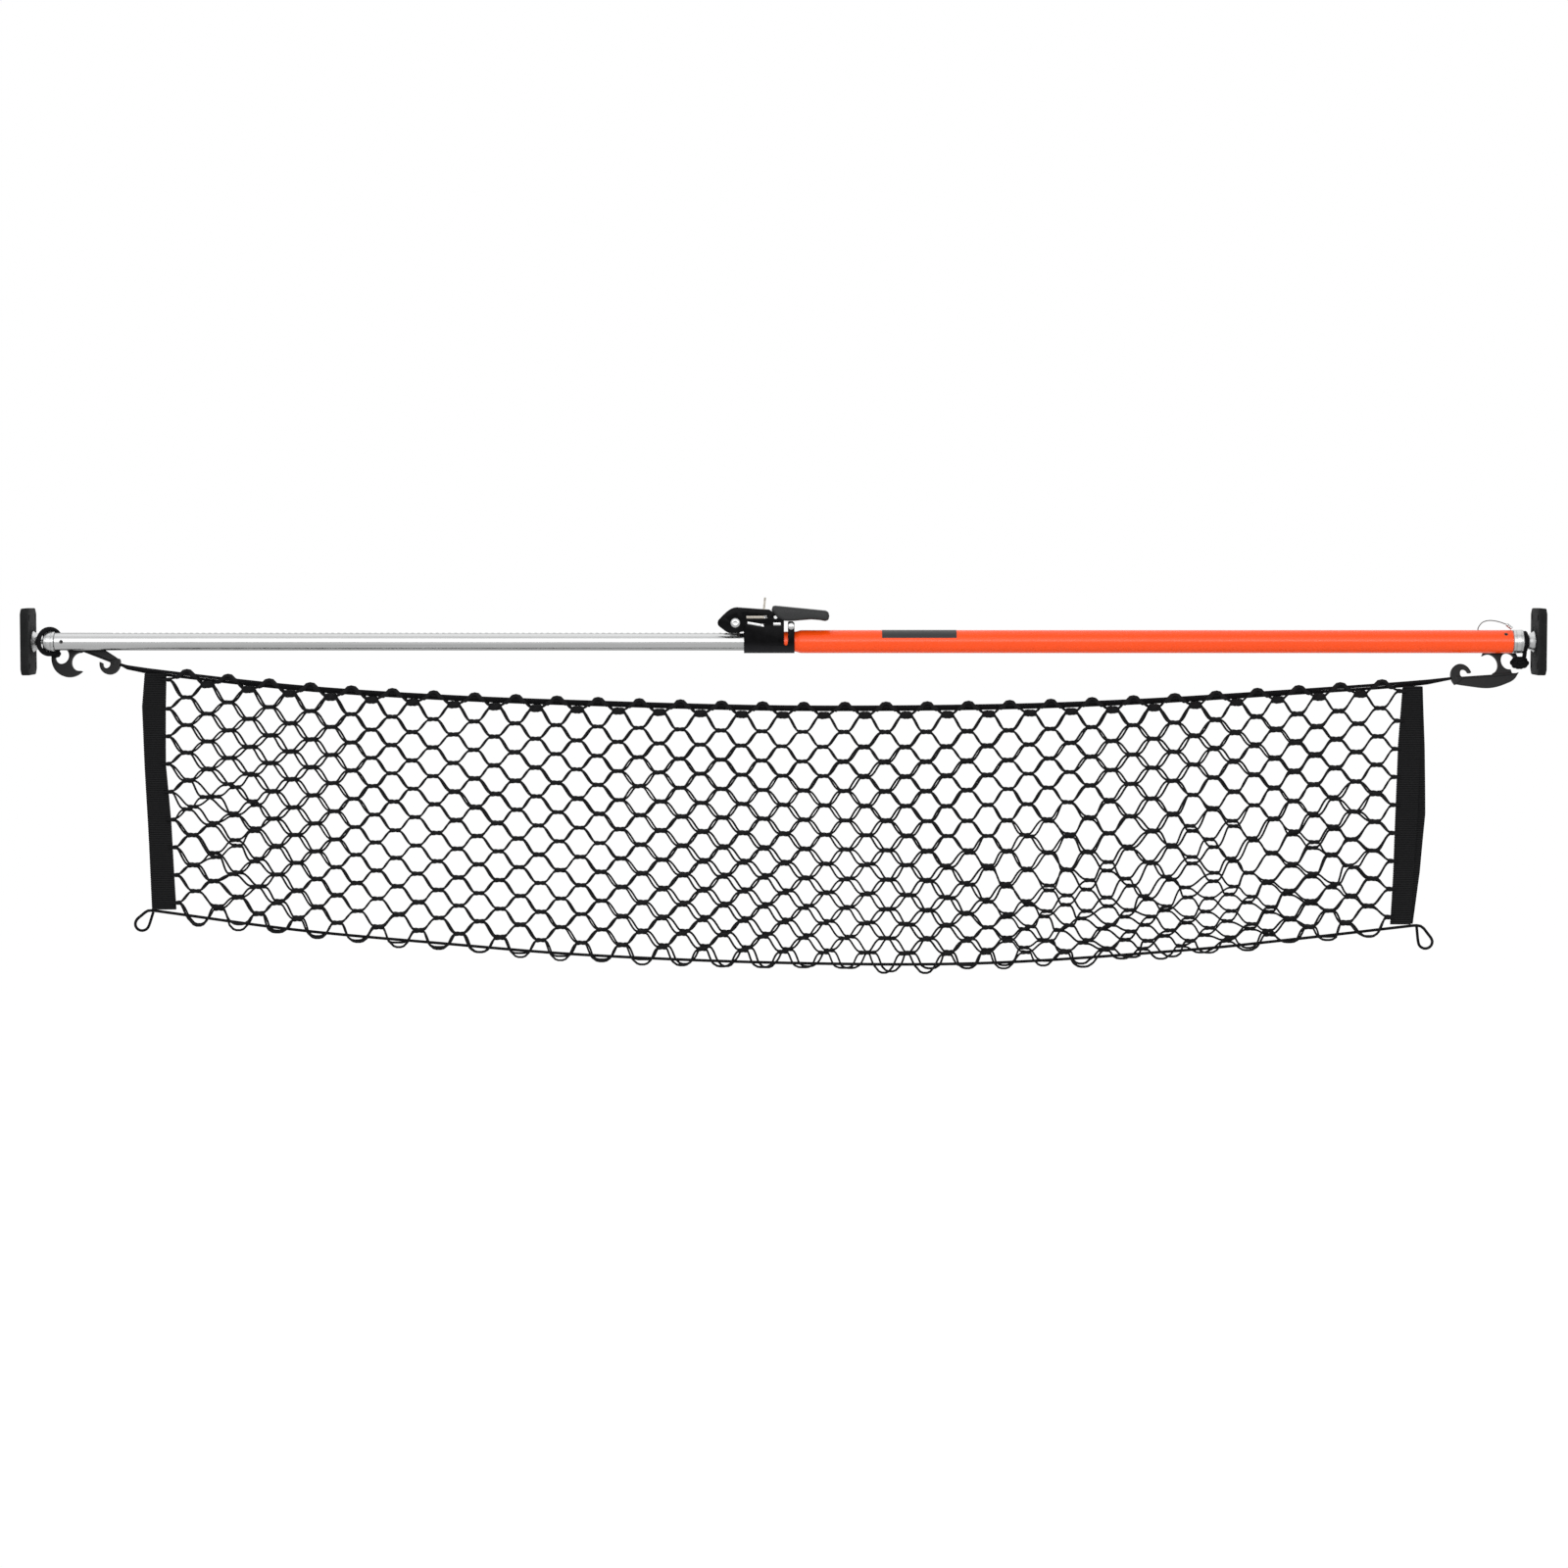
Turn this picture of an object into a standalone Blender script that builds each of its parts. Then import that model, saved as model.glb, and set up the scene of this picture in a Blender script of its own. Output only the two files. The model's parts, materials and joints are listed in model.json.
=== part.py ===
"""Ratcheting truck bed cargo bar with swivelling end pads and a hooked cargo net.

Metres, +Z up. The origin is on the bar's axis at the face of the right pad, and the bar runs
from there along -X. The net hangs below the bar in the plane Y = 0, and -Y is the front.
"""

import math

import bmesh
import bpy
from mathutils import Matrix, Vector

# Bar
BAR_LENGTH = 1.778          # face to face of the pads, pulled out
TRAVEL = 0.720              # how far the inner tube slides in
CLEAR = 0.0003              # gap between pieces that touch
ROUND = 32                  # facets round the outer tube
INNER_ROUND = 16            # facets round the slotted tube, one ridge along its top
SMALL_ROUND = 16            # facets round turned fittings
LOOP_POINTS = 24            # points round an elastic loop

OUTER_OD = 0.0270
OUTER_WALL = 0.0012
OUTER_LENGTH = 0.8315       # full-diameter stretch of the outer tube
SWAGE_TAPER = 0.0080
SWAGE_LENGTH = 0.0290       # reduced neck that the ratchet clamps on
INNER_OD = 0.0205
INNER_WALL = 0.0012
INNER_OVERLAP = 0.0680      # how far the pulled-out inner tube stays inside the full outer tube
BUSH_LENGTH = 0.0120        # nylon guide on the hidden end of the inner tube

# End pads and their ball joints
PAD_HEIGHT = 0.0780
PAD_WIDTH = 0.0500
PAD_THICK = 0.0100
PAD_CORNER = 0.0060
PAD_HOLE_R = 0.0030
PAD_HOLE_EDGE_Y = 0.0060    # hole centre in from the pad's side
PAD_HOLE_EDGE_Z = 0.0110    # hole centre in from the pad's top and bottom
BALL_R = 0.0050
BALL_DEPTH = 0.0155         # ball centre behind the pad's face
LINER_WALL = 0.0008
LINER_MOUTH = 0.0028        # liner's open end, from the ball's centre
SOCKET_WALL = 0.0014
SOCKET_RIM_R = 0.01225
STUD_R = 0.0030
STUD_GAP = 0.0040           # bare stud between socket mouth and plug
PLUG_FLANGE = 0.0130
PLUG_LIP = 0.0016           # how far the inner tube's plug stands proud of its tube
OUTER_PLUG_LIP = 0.0003
PLUG_SPIGOT = 0.0250
PLUG_CHAMFER = 0.0010
PIN_R = 0.0020
PIN_FROM_END = 0.0090
PIN_TURN = {"right": math.radians(-42), "left": 0.0}   # how far each pin is turned up from level

# Ratchet
SLOT_PITCH = 0.0072
SLOT_LENGTH = 0.0048
SLOT_WIDTH = 0.0066
SPARE_SLOTS = 3
GEAR_TEETH = 10
GEAR_WIDTH = 0.0055
GEAR_ADDENDUM = 0.0021
GEAR_DEDENDUM = 0.0019
GEAR_LIFT = 0.0005          # pitch line above the top of the inner tube
TOOTH_TIP = 0.0017
TOOTH_ROOT = 0.0046
AXLE_R = 0.0040
AXLE_HEAD_R = 0.0054
AXLE_HEAD = 0.0016
SPACER_R = 0.0070
HOUSING_WALL = 0.0015
HOUSING_LENGTH = 0.0590
HOUSING_TOP = 0.0262
AXLE_AHEAD = 0.0100         # axle in front of the housing's sleeve
EAR_R = 0.0095
SPLIT_WIDTH = 0.0046        # slit that lets the sleeve clamp on the swaged neck
SPLIT_FROM_END = 0.0076
SPLIT_BOTTOM = -0.0036
STRAP_TOP = 0.0235
CLAMP_Z = 0.0182
CLAMP_R = 0.0026
CLAMP_HEAD_R = 0.0040
CLAMP_HEAD = 0.0012
PAWL_THICK = 0.0030
PAWL_GAP = 0.0004           # pawl tip outside the gear's tip circle
PAWL_TRAVEL = 0.0030
HOLD_PAWL_LENGTH = 0.0160
HOLD_PAWL_SLANT = math.radians(10)
HOLD_PAWL_PROUD = 0.0012    # pawl ends outside the housing's sides
STOP_LENGTH = 0.0080
STOP_HEIGHT = 0.0034
STOP_AHEAD = 0.0447         # near edge of the spring stop behind the axle
STOP_DROP = 0.0014          # centre of the spring stop below the axle
SPRING_WIRE_R = 0.0004
SPRING_R = 0.0014
SPRING_TURNS = 5

# Handle
CHEEK_WALL = 0.0016
WEB_WALL = 0.0018
WEB_START = 0.0015          # front edge of the web that joins the cheeks, from the axle
CHEEK_BOTTOM = 0.0030       # lower edge of the cheeks behind the axle
TONGUE_END = 0.0760
DRIVE_PAWL_Z = 0.0066       # drive pawl above the axle
DRIVE_PAWL_LENGTH = 0.0207
DRIVE_PAWL_PROUD = 0.0008
TAB_HEIGHT = 0.0294         # top of the release tab above the axle
TAB_WIDTH = 0.0120
TAB_THICK = 0.0024
TAB_LEAN = 0.0022
SEAT_PIN_R = 0.0020
SEAT_PIN_X = 0.0470
GRIP_WALL = 0.0026
GRIP_LENGTH = 0.0660
GRIP_START = 0.0437
GRIP_ROOF = 0.0022
GRIP_EDGE = 0.0025
GRIP_RISE = 0.0024          # how far the grip's shoulder stands above its roof over the tongue

# Net hooks and the elastic loops that hold them to the bar
LOOP_CORD_R = 0.0024
LEFT_LOOP_R = 0.0174
LEFT_LOOP_DRAW = 0.84       # height of the left loop over its width, drawn close to the plug
LEFT_LOOP_TILT = math.radians(37)
LEFT_KNOT = (-1.7435, 0.0112, -0.0147)
LEFT_KNOT_RADII = (0.0056, 0.0043, 0.0042)
RIGHT_LOOP_R = 0.0102
RIGHT_LOOP_CORD_R = 0.0021
RIGHT_LOOP_SHIFT = 0.0024   # ring centre ahead of the plug's face
RIGHT_KNOT = (-0.0275, -0.0008, -0.0248)
RIGHT_KNOT_RADII = (0.0108, 0.0060, 0.0082)
HOOK_THICK = 0.0060
EYE_R = 0.0086
CATCH_R = 0.0102
CATCH_X = -0.0226
CATCH_Z = 0.0023
BOW_R = 0.0225              # outer curve of the two horns
BOW_X = -0.0097
BOW_Z = -0.0008
SPINE_BACK = (-0.0656, -0.0024)
SPINE_FRONT = (0.0040, -0.0137)
SPINE_BELLY = [
    (0.0090, -0.0135), (0.0007, -0.0195), (-0.0098, -0.0215), (-0.0235, -0.0222),
    (-0.0366, -0.0202), (-0.0549, -0.0140), (-0.0695, -0.0082), (-0.0706, -0.0045),
]
SPINE_THICK = 0.0045
TAIL_X = -0.0592
TAIL_Z = -0.0024
TAIL_R = 0.0125
TAIL_HOLE_X = -0.0555
TAIL_HOLE_Z = -0.0010
TAIL_HOLE_R = 0.0048
LEFT_HOOK_EYE = (-1.7362, 0.0162, -0.0178)
LEFT_HOOK_TURN = math.radians(170.5)
LEFT_HOOK_YAW = math.radians(-9.5)
LEFT_HOOK_LEAN = -0.35      # how far the hook leans along Y for its own height
RIGHT_HOOK_EYE = (-0.0398, 0.0078, -0.0236)
RIGHT_HOOK_TURN = math.radians(13.8)
RIGHT_HOOK_YAW = math.radians(6.5)
RIGHT_HOOK_LEAN = 0.58

# Net
TOP_CORD_R = 0.0015
BOTTOM_CORD_R = 0.0017
CORD_SPREAD = 0.0025        # front and back top cords either side of the net
NET_THICK = 0.0014
STRAND = 0.0030
RIM = 0.0035
NET_COLUMNS = 16
NET_ROWS = 5
FLAT_SHARE = 0.26           # short level side of a mesh, as a share of its width
WEBBING_WIDTH = 0.0290
WEBBING_THICK = 0.0014
CORD_STEP = 0.070           # length of cord between two rings of its tube
TETHER_R = 0.0006
CRIMP_R = 0.0021
CRIMP_LENGTH = 0.0075

# Routes in the net's plane as (X, Z)
TOP_ROUTE = [
    (-1.6330, -0.0345), (-1.4610, -0.0538), (-1.2890, -0.0653), (-1.1180, -0.0721),
    (-0.8885, -0.0779), (-0.6595, -0.0767), (-0.4878, -0.0710), (-0.3160, -0.0607),
    (-0.1590, -0.0498),
]
BOTTOM_ROUTE = [
    (-1.6270, -0.3165), (-1.4610, -0.3390), (-1.2890, -0.3550), (-1.1180, -0.3687),
    (-0.8885, -0.3779), (-0.6595, -0.3784), (-0.4305, -0.3640), (-0.2930, -0.3504),
    (-0.1500, -0.3340),
]
LEFT_WEBBING = [(-1.6235, -0.0375), (-1.6240, -0.1300), (-1.6215, -0.2200), (-1.6165, -0.3145)]
RIGHT_WEBBING = [(-0.1520, -0.0525), (-0.1515, -0.1500), (-0.1525, -0.2400), (-0.1615, -0.3320)]
# Corner loops go on from the bottom cord's ends
LEFT_CORNER_LOOP = [
    (-1.6330, 0.0000, -0.3160), (-1.6364, -0.0003, -0.3164), (-1.6394, -0.0005, -0.3181),
    (-1.6440, -0.0006, -0.3219), (-1.6486, -0.0006, -0.3258), (-1.6510, -0.0004, -0.3300),
    (-1.6509, 0.0000, -0.3347), (-1.6479, 0.0005, -0.3386), (-1.6433, 0.0012, -0.3399),
    (-1.6387, 0.0020, -0.3383), (-1.6359, 0.0030, -0.3344), (-1.6331, 0.0040, -0.3258),
    (-1.6308, 0.0043, -0.3184),
]
RIGHT_CORNER_LOOP = [
    (-0.1440, 0.0000, -0.3337), (-0.1397, -0.0003, -0.3345), (-0.1363, -0.0005, -0.3371),
    (-0.1320, -0.0006, -0.3427), (-0.1277, -0.0006, -0.3482), (-0.1260, -0.0004, -0.3527),
    (-0.1272, 0.0000, -0.3574), (-0.1310, 0.0005, -0.3605), (-0.1358, 0.0012, -0.3609),
    (-0.1400, 0.0020, -0.3584), (-0.1419, 0.0030, -0.3539), (-0.1431, 0.0040, -0.3430),
    (-0.1438, 0.0043, -0.3357),
]

# Places that follow from the sizes above
PLUG_FACE = BALL_DEPTH + math.sqrt(BALL_R ** 2 - STUD_R ** 2) + STUD_GAP
OUTER_END = PLUG_FACE + PLUG_FLANGE
SHOULDER = OUTER_END + OUTER_LENGTH
NECK_START = SHOULDER + SWAGE_TAPER
NECK_END = NECK_START + SWAGE_LENGTH
INNER_END = BAR_LENGTH - PLUG_FACE - PLUG_FLANGE
INNER_LENGTH = INNER_END - SHOULDER + INNER_OVERLAP
NECK_R = INNER_OD / 2 + CLEAR + OUTER_WALL
PITCH_R = GEAR_TEETH * SLOT_PITCH / (2 * math.pi)
TIP_R = PITCH_R + GEAR_ADDENDUM
HOUSING_BACK = -NECK_START - CLEAR
HOUSING_FRONT = HOUSING_BACK - HOUSING_LENGTH
HOUSING_IN = NECK_R + CLEAR
HOUSING_OUT = HOUSING_IN + HOUSING_WALL
AXLE_X = HOUSING_FRONT - AXLE_AHEAD
AXLE_Z = INNER_OD / 2 + GEAR_LIFT + PITCH_R
CHEEK_IN = HOUSING_OUT + CLEAR
CHEEK_OUT = CHEEK_IN + CHEEK_WALL
AXLE = Vector((AXLE_X, 0, AXLE_Z))

for leftover in list(bpy.data.objects):
    bpy.data.objects.remove(leftover)

bar_collection = bpy.data.collections.new("bed_cargo_bar")
cutter_collection = bpy.data.collections.new("cutters")
bpy.context.scene.collection.children.link(bar_collection)
bpy.context.scene.collection.children.link(cutter_collection)


def make_material(name, colour, roughness, metallic):
    """A Principled material of one colour."""
    material = bpy.data.materials.new(name)
    material.use_nodes = True
    shader = material.node_tree.nodes["Principled BSDF"]
    shader.inputs["Base Color"].default_value = (*colour, 1)
    shader.inputs["Roughness"].default_value = roughness
    shader.inputs["Metallic"].default_value = metallic
    return material


ORANGE = make_material("orange_enamel", (0.85, 0.11, 0.01), 0.35, 0.0)
ZINC = make_material("zinc_steel", (0.62, 0.62, 0.60), 0.30, 1.0)
BLACK = make_material("black_enamel", (0.012, 0.012, 0.013), 0.40, 0.0)
RUBBER = make_material("black_rubber", (0.030, 0.030, 0.032), 0.75, 0.0)
PLASTIC = make_material("black_plastic", (0.020, 0.020, 0.021), 0.50, 0.0)
GRIP = make_material("grip_rubber", (0.045, 0.045, 0.047), 0.65, 0.0)
NYLON = make_material("white_nylon", (0.75, 0.74, 0.70), 0.50, 0.0)
TEXTILE = make_material("black_textile", (0.010, 0.010, 0.011), 0.90, 0.0)


def mesh_of(source):
    """The evaluated mesh of an object as a new closed mesh in world space; the source goes."""
    graph = bpy.context.evaluated_depsgraph_get()
    mesh = bpy.data.meshes.new_from_object(source.evaluated_get(graph))
    mesh.transform(source.evaluated_get(graph).matrix_world)
    bpy.data.objects.remove(source)
    work = bmesh.new()
    work.from_mesh(mesh)
    bmesh.ops.remove_doubles(work, verts=work.verts, dist=0.00001)
    bmesh.ops.dissolve_limit(work, angle_limit=0.0002, verts=work.verts, edges=work.edges)
    bmesh.ops.recalc_face_normals(work, faces=work.faces)
    work.to_mesh(mesh)
    work.free()
    return mesh


def add_object(name, mesh, material=None):
    """A named object in the bar's collection, or a hidden cutter where it has no material."""
    item = bpy.data.objects.new(name, mesh)
    if material is None:
        cutter_collection.objects.link(item)
        item.hide_render = True
        item.display_type = "WIRE"
        return item
    bar_collection.objects.link(item)
    mesh.materials.clear()
    mesh.materials.append(material)
    mesh.shade_smooth()
    mesh.set_sharp_from_angle(angle=math.radians(35))
    return item


def solid(name, source, material=None):
    """Turn a curve or a primitive into a plain closed mesh object."""
    return add_object(name, mesh_of(source), material)


def turned(name, profile, material=None, axis="X", centre=(0, 0, 0), steps=ROUND, closed=False):
    """Spin a profile of (place along the axis, radius) round an axis."""
    mesh = bpy.data.meshes.new(name)
    work = bmesh.new()
    points = [work.verts.new((place, radius, 0)) for place, radius in profile]
    for first, second in zip(points, points[1:]):
        work.edges.new((first, second))
    if closed:
        work.edges.new((points[-1], points[0]))
    work.to_mesh(mesh)
    work.free()
    lathe = bpy.data.objects.new(name + "_lathe", mesh)
    bpy.context.scene.collection.objects.link(lathe)
    screw = lathe.modifiers.new("turn", "SCREW")
    screw.axis = "X"
    screw.steps = steps
    screw.render_steps = steps
    screw.use_merge_vertices = True
    screw.merge_threshold = 0.00001
    if axis == "Y":
        lathe.rotation_euler.z = math.pi / 2
    lathe.location = centre
    bpy.context.view_layer.update()
    return solid(name, lathe, material)


def plate(name, outline, width, material=None, holes=(), plane="XZ", centre=0.0):
    """Extrude a closed outline, with holes, square to its plane."""
    curve = bpy.data.curves.new(name, "CURVE")
    curve.dimensions = "2D"
    curve.fill_mode = "BOTH"
    curve.extrude = width / 2
    for loop in (outline, *holes):
        spline = curve.splines.new("POLY")
        spline.points.add(len(loop) - 1)
        for point, (across, up) in zip(spline.points, loop):
            point.co = (across, up, 0, 1)
        spline.use_cyclic_u = True
    sheet = bpy.data.objects.new(name + "_outline", curve)
    bpy.context.scene.collection.objects.link(sheet)
    if plane == "XZ":
        sheet.matrix_world = Matrix.Translation((0, centre, 0)) @ Matrix.Rotation(math.pi / 2, 4, "X")
    elif plane == "YZ":
        turn = Matrix.Rotation(math.pi / 2, 4, "Z") @ Matrix.Rotation(math.pi / 2, 4, "X")
        sheet.matrix_world = Matrix.Translation((centre, 0, 0)) @ turn
    else:
        sheet.matrix_world = Matrix.Translation((0, 0, centre))
    bpy.context.view_layer.update()
    return solid(name, sheet, material)


def box(name, low, high, material=None):
    """A block between two corners."""
    mesh = bpy.data.meshes.new(name)
    work = bmesh.new()
    bmesh.ops.create_cube(work, size=1.0)
    size = [b - a for a, b in zip(low, high)]
    middle = [(a + b) / 2 for a, b in zip(low, high)]
    bmesh.ops.transform(work, matrix=Matrix.Translation(middle) @ Matrix.Diagonal((*size, 1)),
                        verts=work.verts)
    work.to_mesh(mesh)
    work.free()
    return add_object(name, mesh, material)


def rod(name, radius, low_y, high_y, place, material=None, steps=24):
    """A plain cylinder across the bar, at (X, Z)."""
    profile = [(low_y, 0), (low_y, radius), (high_y, radius), (high_y, 0)]
    return turned(name, profile, material, axis="Y", centre=(place[0], 0, place[1]), steps=steps)


def combine(target, tool, operation="DIFFERENCE"):
    """Cut, join or intersect the target with a tool object, which is used up."""
    change = target.modifiers.new("combine", "BOOLEAN")
    change.operation = operation
    change.object = tool
    change.solver = "EXACT"
    bpy.context.view_layer.update()
    name = target.name
    kept = list(target.data.materials)
    target.name = name + "_before"
    mesh = mesh_of(target)
    bpy.data.objects.remove(tool)
    return add_object(name, mesh, kept[0] if kept else None)


def arc(centre, radius, start, end, count):
    """Points on a circle from one angle to another, in degrees."""
    turns = [math.radians(start + (end - start) * k / (count - 1)) for k in range(count)]
    return [(centre[0] + radius * math.cos(t), centre[1] + radius * math.sin(t)) for t in turns]


def smooth_route(points, step):
    """Points read every step from a smooth curve through the route's own points."""
    places = [Vector(p) for p in points]
    padded = [2 * places[0] - places[1], *places, 2 * places[-1] - places[-2]]
    route = []
    for before, start, end, after in zip(padded, padded[1:], padded[2:], padded[3:]):
        count = max(1, round((end - start).length / step))
        for k in range(count):
            t = k / count
            pull = (2 * start + (end - before) * t
                    + (2 * before - 5 * start + 4 * end - after) * t * t
                    + (3 * start - before - 3 * end + after) * t ** 3)
            route.append(pull / 2)
    return [*route, places[-1]]


def cord(name, points, radius, material, sides=2, cyclic=False):
    """A round tube along points."""
    curve = bpy.data.curves.new(name, "CURVE")
    curve.dimensions = "3D"
    curve.bevel_depth = radius
    curve.bevel_resolution = sides
    curve.use_fill_caps = True
    spline = curve.splines.new("POLY")
    spline.points.add(len(points) - 1)
    for point, place in zip(spline.points, points):
        point.co = (*place, 1)
    spline.use_cyclic_u = cyclic
    line = bpy.data.objects.new(name + "_line", curve)
    bpy.context.scene.collection.objects.link(line)
    bpy.context.view_layer.update()
    return solid(name, line, material)


def ball(name, centre, radii, material=None, segments=10, rings=7):
    """A faceted ball or ellipsoid."""
    mesh = bpy.data.meshes.new(name)
    work = bmesh.new()
    bmesh.ops.create_uvsphere(work, u_segments=segments, v_segments=rings, radius=1.0)
    bmesh.ops.transform(work, matrix=Matrix.Translation(centre) @ Matrix.Diagonal((*radii, 1)),
                        verts=work.verts)
    work.to_mesh(mesh)
    work.free()
    return add_object(name, mesh, material)


def mirrored_ends():
    """The two ends as (side, X of the pad's face, direction into the bar)."""
    return (("right", 0.0, -1.0), ("left", -BAR_LENGTH, 1.0))


def make_end_pad(side, face, inward):
    """Rubber pad with four screw holes and a recess for its socket's rim."""
    half_y = PAD_WIDTH / 2
    half_z = PAD_HEIGHT / 2
    c = PAD_CORNER
    outline = [
        (half_y - c, -half_z), (half_y, c - half_z), (half_y, half_z - c), (half_y - c, half_z),
        (c - half_y, half_z), (-half_y, half_z - c), (-half_y, c - half_z), (c - half_y, -half_z),
    ]
    holes = []
    for y in (PAD_HOLE_EDGE_Y - half_y, half_y - PAD_HOLE_EDGE_Y):
        for z in (PAD_HOLE_EDGE_Z - half_z, half_z - PAD_HOLE_EDGE_Z):
            holes.append(arc((y, z), PAD_HOLE_R, 0, 330, 12))
    plate(side + "_pad", outline, PAD_THICK, RUBBER, holes, "YZ", face + inward * PAD_THICK / 2)


def make_ball_joint(side, face, inward):
    """Socket on the pad and the split liner between it and the stud's ball."""
    centre = face + inward * BALL_DEPTH
    liner_in = BALL_R + CLEAR / 2
    liner_out = liner_in + LINER_WALL
    socket_in = liner_out + CLEAR / 2
    mouth = STUD_GAP
    back = BALL_DEPTH - PAD_THICK - CLEAR
    shell = []
    for radius, order in ((liner_in, 1), (liner_out, -1)):
        first = math.acos(LINER_MOUTH / radius)
        last = math.radians(118)
        angles = [first + (last - first) * k / 5 for k in range(6)][::order]
        shell += [(centre + inward * radius * math.cos(t), radius * math.sin(t)) for t in angles]
    turned(side + "_ball_liner", shell, NYLON, closed=True, steps=SMALL_ROUND)
    hollow = [math.acos(mouth / socket_in) * (1 - k / 4) + math.pi / 2 * k / 4 for k in range(5)]
    inside = [(centre + inward * socket_in * math.cos(t), socket_in * math.sin(t)) for t in hollow]
    mouth_r = math.sqrt(socket_in ** 2 - mouth ** 2)
    outside = [
        (centre - inward * back, socket_in),
        (centre - inward * back, SOCKET_RIM_R),
        (centre - inward * (back - SOCKET_WALL), SOCKET_RIM_R),
        (centre + inward * mouth, mouth_r + SOCKET_WALL),
    ]
    turned(side + "_socket", inside + outside, ZINC, closed=True, steps=SMALL_ROUND)


def make_end_plug(side, face, inward, tube_od, tube_wall, lip):
    """Turned plug with a spigot in the tube, a flange, and a ball stud."""
    centre = face + inward * BALL_DEPTH
    flange_face = face + inward * PLUG_FACE
    flange_end = face + inward * (PLUG_FACE + PLUG_FLANGE - CLEAR)
    spigot_end = flange_end + inward * PLUG_SPIGOT
    spigot_r = tube_od / 2 - tube_wall - CLEAR
    flange_r = tube_od / 2 + lip
    start = math.asin(STUD_R / BALL_R)
    swept = [math.pi - (math.pi - start) * k / 7 for k in range(8)]
    round_end = [(centre + inward * BALL_R * math.cos(t), BALL_R * math.sin(t)) for t in swept]
    profile = [
        *round_end,
        (flange_face, STUD_R),
        (flange_face, flange_r - PLUG_CHAMFER),
        (flange_face + inward * PLUG_CHAMFER, flange_r),
        (flange_end - inward * PLUG_CHAMFER, flange_r),
        (flange_end, flange_r - PLUG_CHAMFER),
        (flange_end, spigot_r),
        (spigot_end, spigot_r),
        (spigot_end, 0),
    ]
    plug = turned(side + "_end_plug", profile, ZINC, steps=SMALL_ROUND)
    pin_x = flange_end + inward * PIN_FROM_END
    return combine(plug, pin_hole(side, pin_x, tube_od))


def pin_hole(side, pin_x, tube_od):
    """The hole that a plug's pin goes through, in the plug and in its tube."""
    hole = rod("pin_hole", PIN_R + CLEAR, -tube_od, tube_od, (pin_x, 0), steps=12)
    hole.data.transform(Matrix.Rotation(PIN_TURN[side], 4, "X"))
    return hole


def make_plug_pin(side, face, inward, tube_od):
    """Hollow spring pin that holds the plug in its tube, flush with the tube."""
    pin_x = face + inward * (PLUG_FACE + PLUG_FLANGE - CLEAR + PIN_FROM_END)
    half = math.sqrt((tube_od / 2) ** 2 - PIN_R ** 2) - CLEAR
    wall = PIN_R * 0.4
    ring = [(-half, PIN_R - wall), (-half, PIN_R), (half, PIN_R), (half, PIN_R - wall)]
    pin = turned(side + "_plug_pin", ring, ZINC, axis="Y", centre=(pin_x, 0, 0), steps=12, closed=True)
    pin.data.transform(Matrix.Rotation(PIN_TURN[side], 4, "X"))
    return pin_x


def make_outer_tube():
    """Painted tube, swaged down to a neck where the ratchet clamps on."""
    full_r = OUTER_OD / 2
    profile = [
        (-OUTER_END, full_r), (-SHOULDER, full_r), (-NECK_START, NECK_R), (-NECK_END, NECK_R),
        (-NECK_END, NECK_R - OUTER_WALL), (-NECK_START, NECK_R - OUTER_WALL),
        (-SHOULDER, full_r - OUTER_WALL), (-OUTER_END, full_r - OUTER_WALL),
    ]
    tube = turned("outer_tube", profile, ORANGE, closed=True)
    pin_x = make_plug_pin("right", 0.0, -1.0, OUTER_OD)
    return combine(tube, pin_hole("right", pin_x, OUTER_OD))


def make_inner_tube():
    """Plated tube with a row of slots along its top for the ratchet gear."""
    radius = INNER_OD / 2
    hidden_end = -INNER_END + INNER_LENGTH
    profile = [
        (-INNER_END, radius), (hidden_end, radius),
        (hidden_end, radius - INNER_WALL), (-INNER_END, radius - INNER_WALL),
    ]
    tube = turned("inner_tube", profile, ZINC, closed=True, steps=INNER_ROUND)
    pin_x = make_plug_pin("left", -BAR_LENGTH, 1.0, INNER_OD)
    tube = combine(tube, pin_hole("left", pin_x, INNER_OD))
    count = math.ceil(TRAVEL / SLOT_PITCH) + SPARE_SLOTS
    first = AXLE_X + (SPARE_SLOTS // 2) * SLOT_PITCH
    low = (first - SLOT_LENGTH / 2, -SLOT_WIDTH / 2, radius / 2)
    high = (first + SLOT_LENGTH / 2, SLOT_WIDTH / 2, radius * 1.2)
    punch = box("slot_punch", low, high)
    row = punch.modifiers.new("row", "ARRAY")
    row.count = count
    row.use_relative_offset = False
    row.use_constant_offset = True
    row.constant_offset_displace = (-SLOT_PITCH, 0, 0)
    bpy.context.view_layer.update()
    tube = combine(tube, solid("slot_row", punch))
    bush_r = OUTER_OD / 2 - OUTER_WALL - CLEAR
    ring = [
        (hidden_end, radius + CLEAR), (hidden_end, bush_r),
        (hidden_end - BUSH_LENGTH, bush_r), (hidden_end - BUSH_LENGTH, radius + CLEAR),
    ]
    turned("guide_bush", ring, NYLON, closed=True, steps=INNER_ROUND)
    return tube


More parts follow.
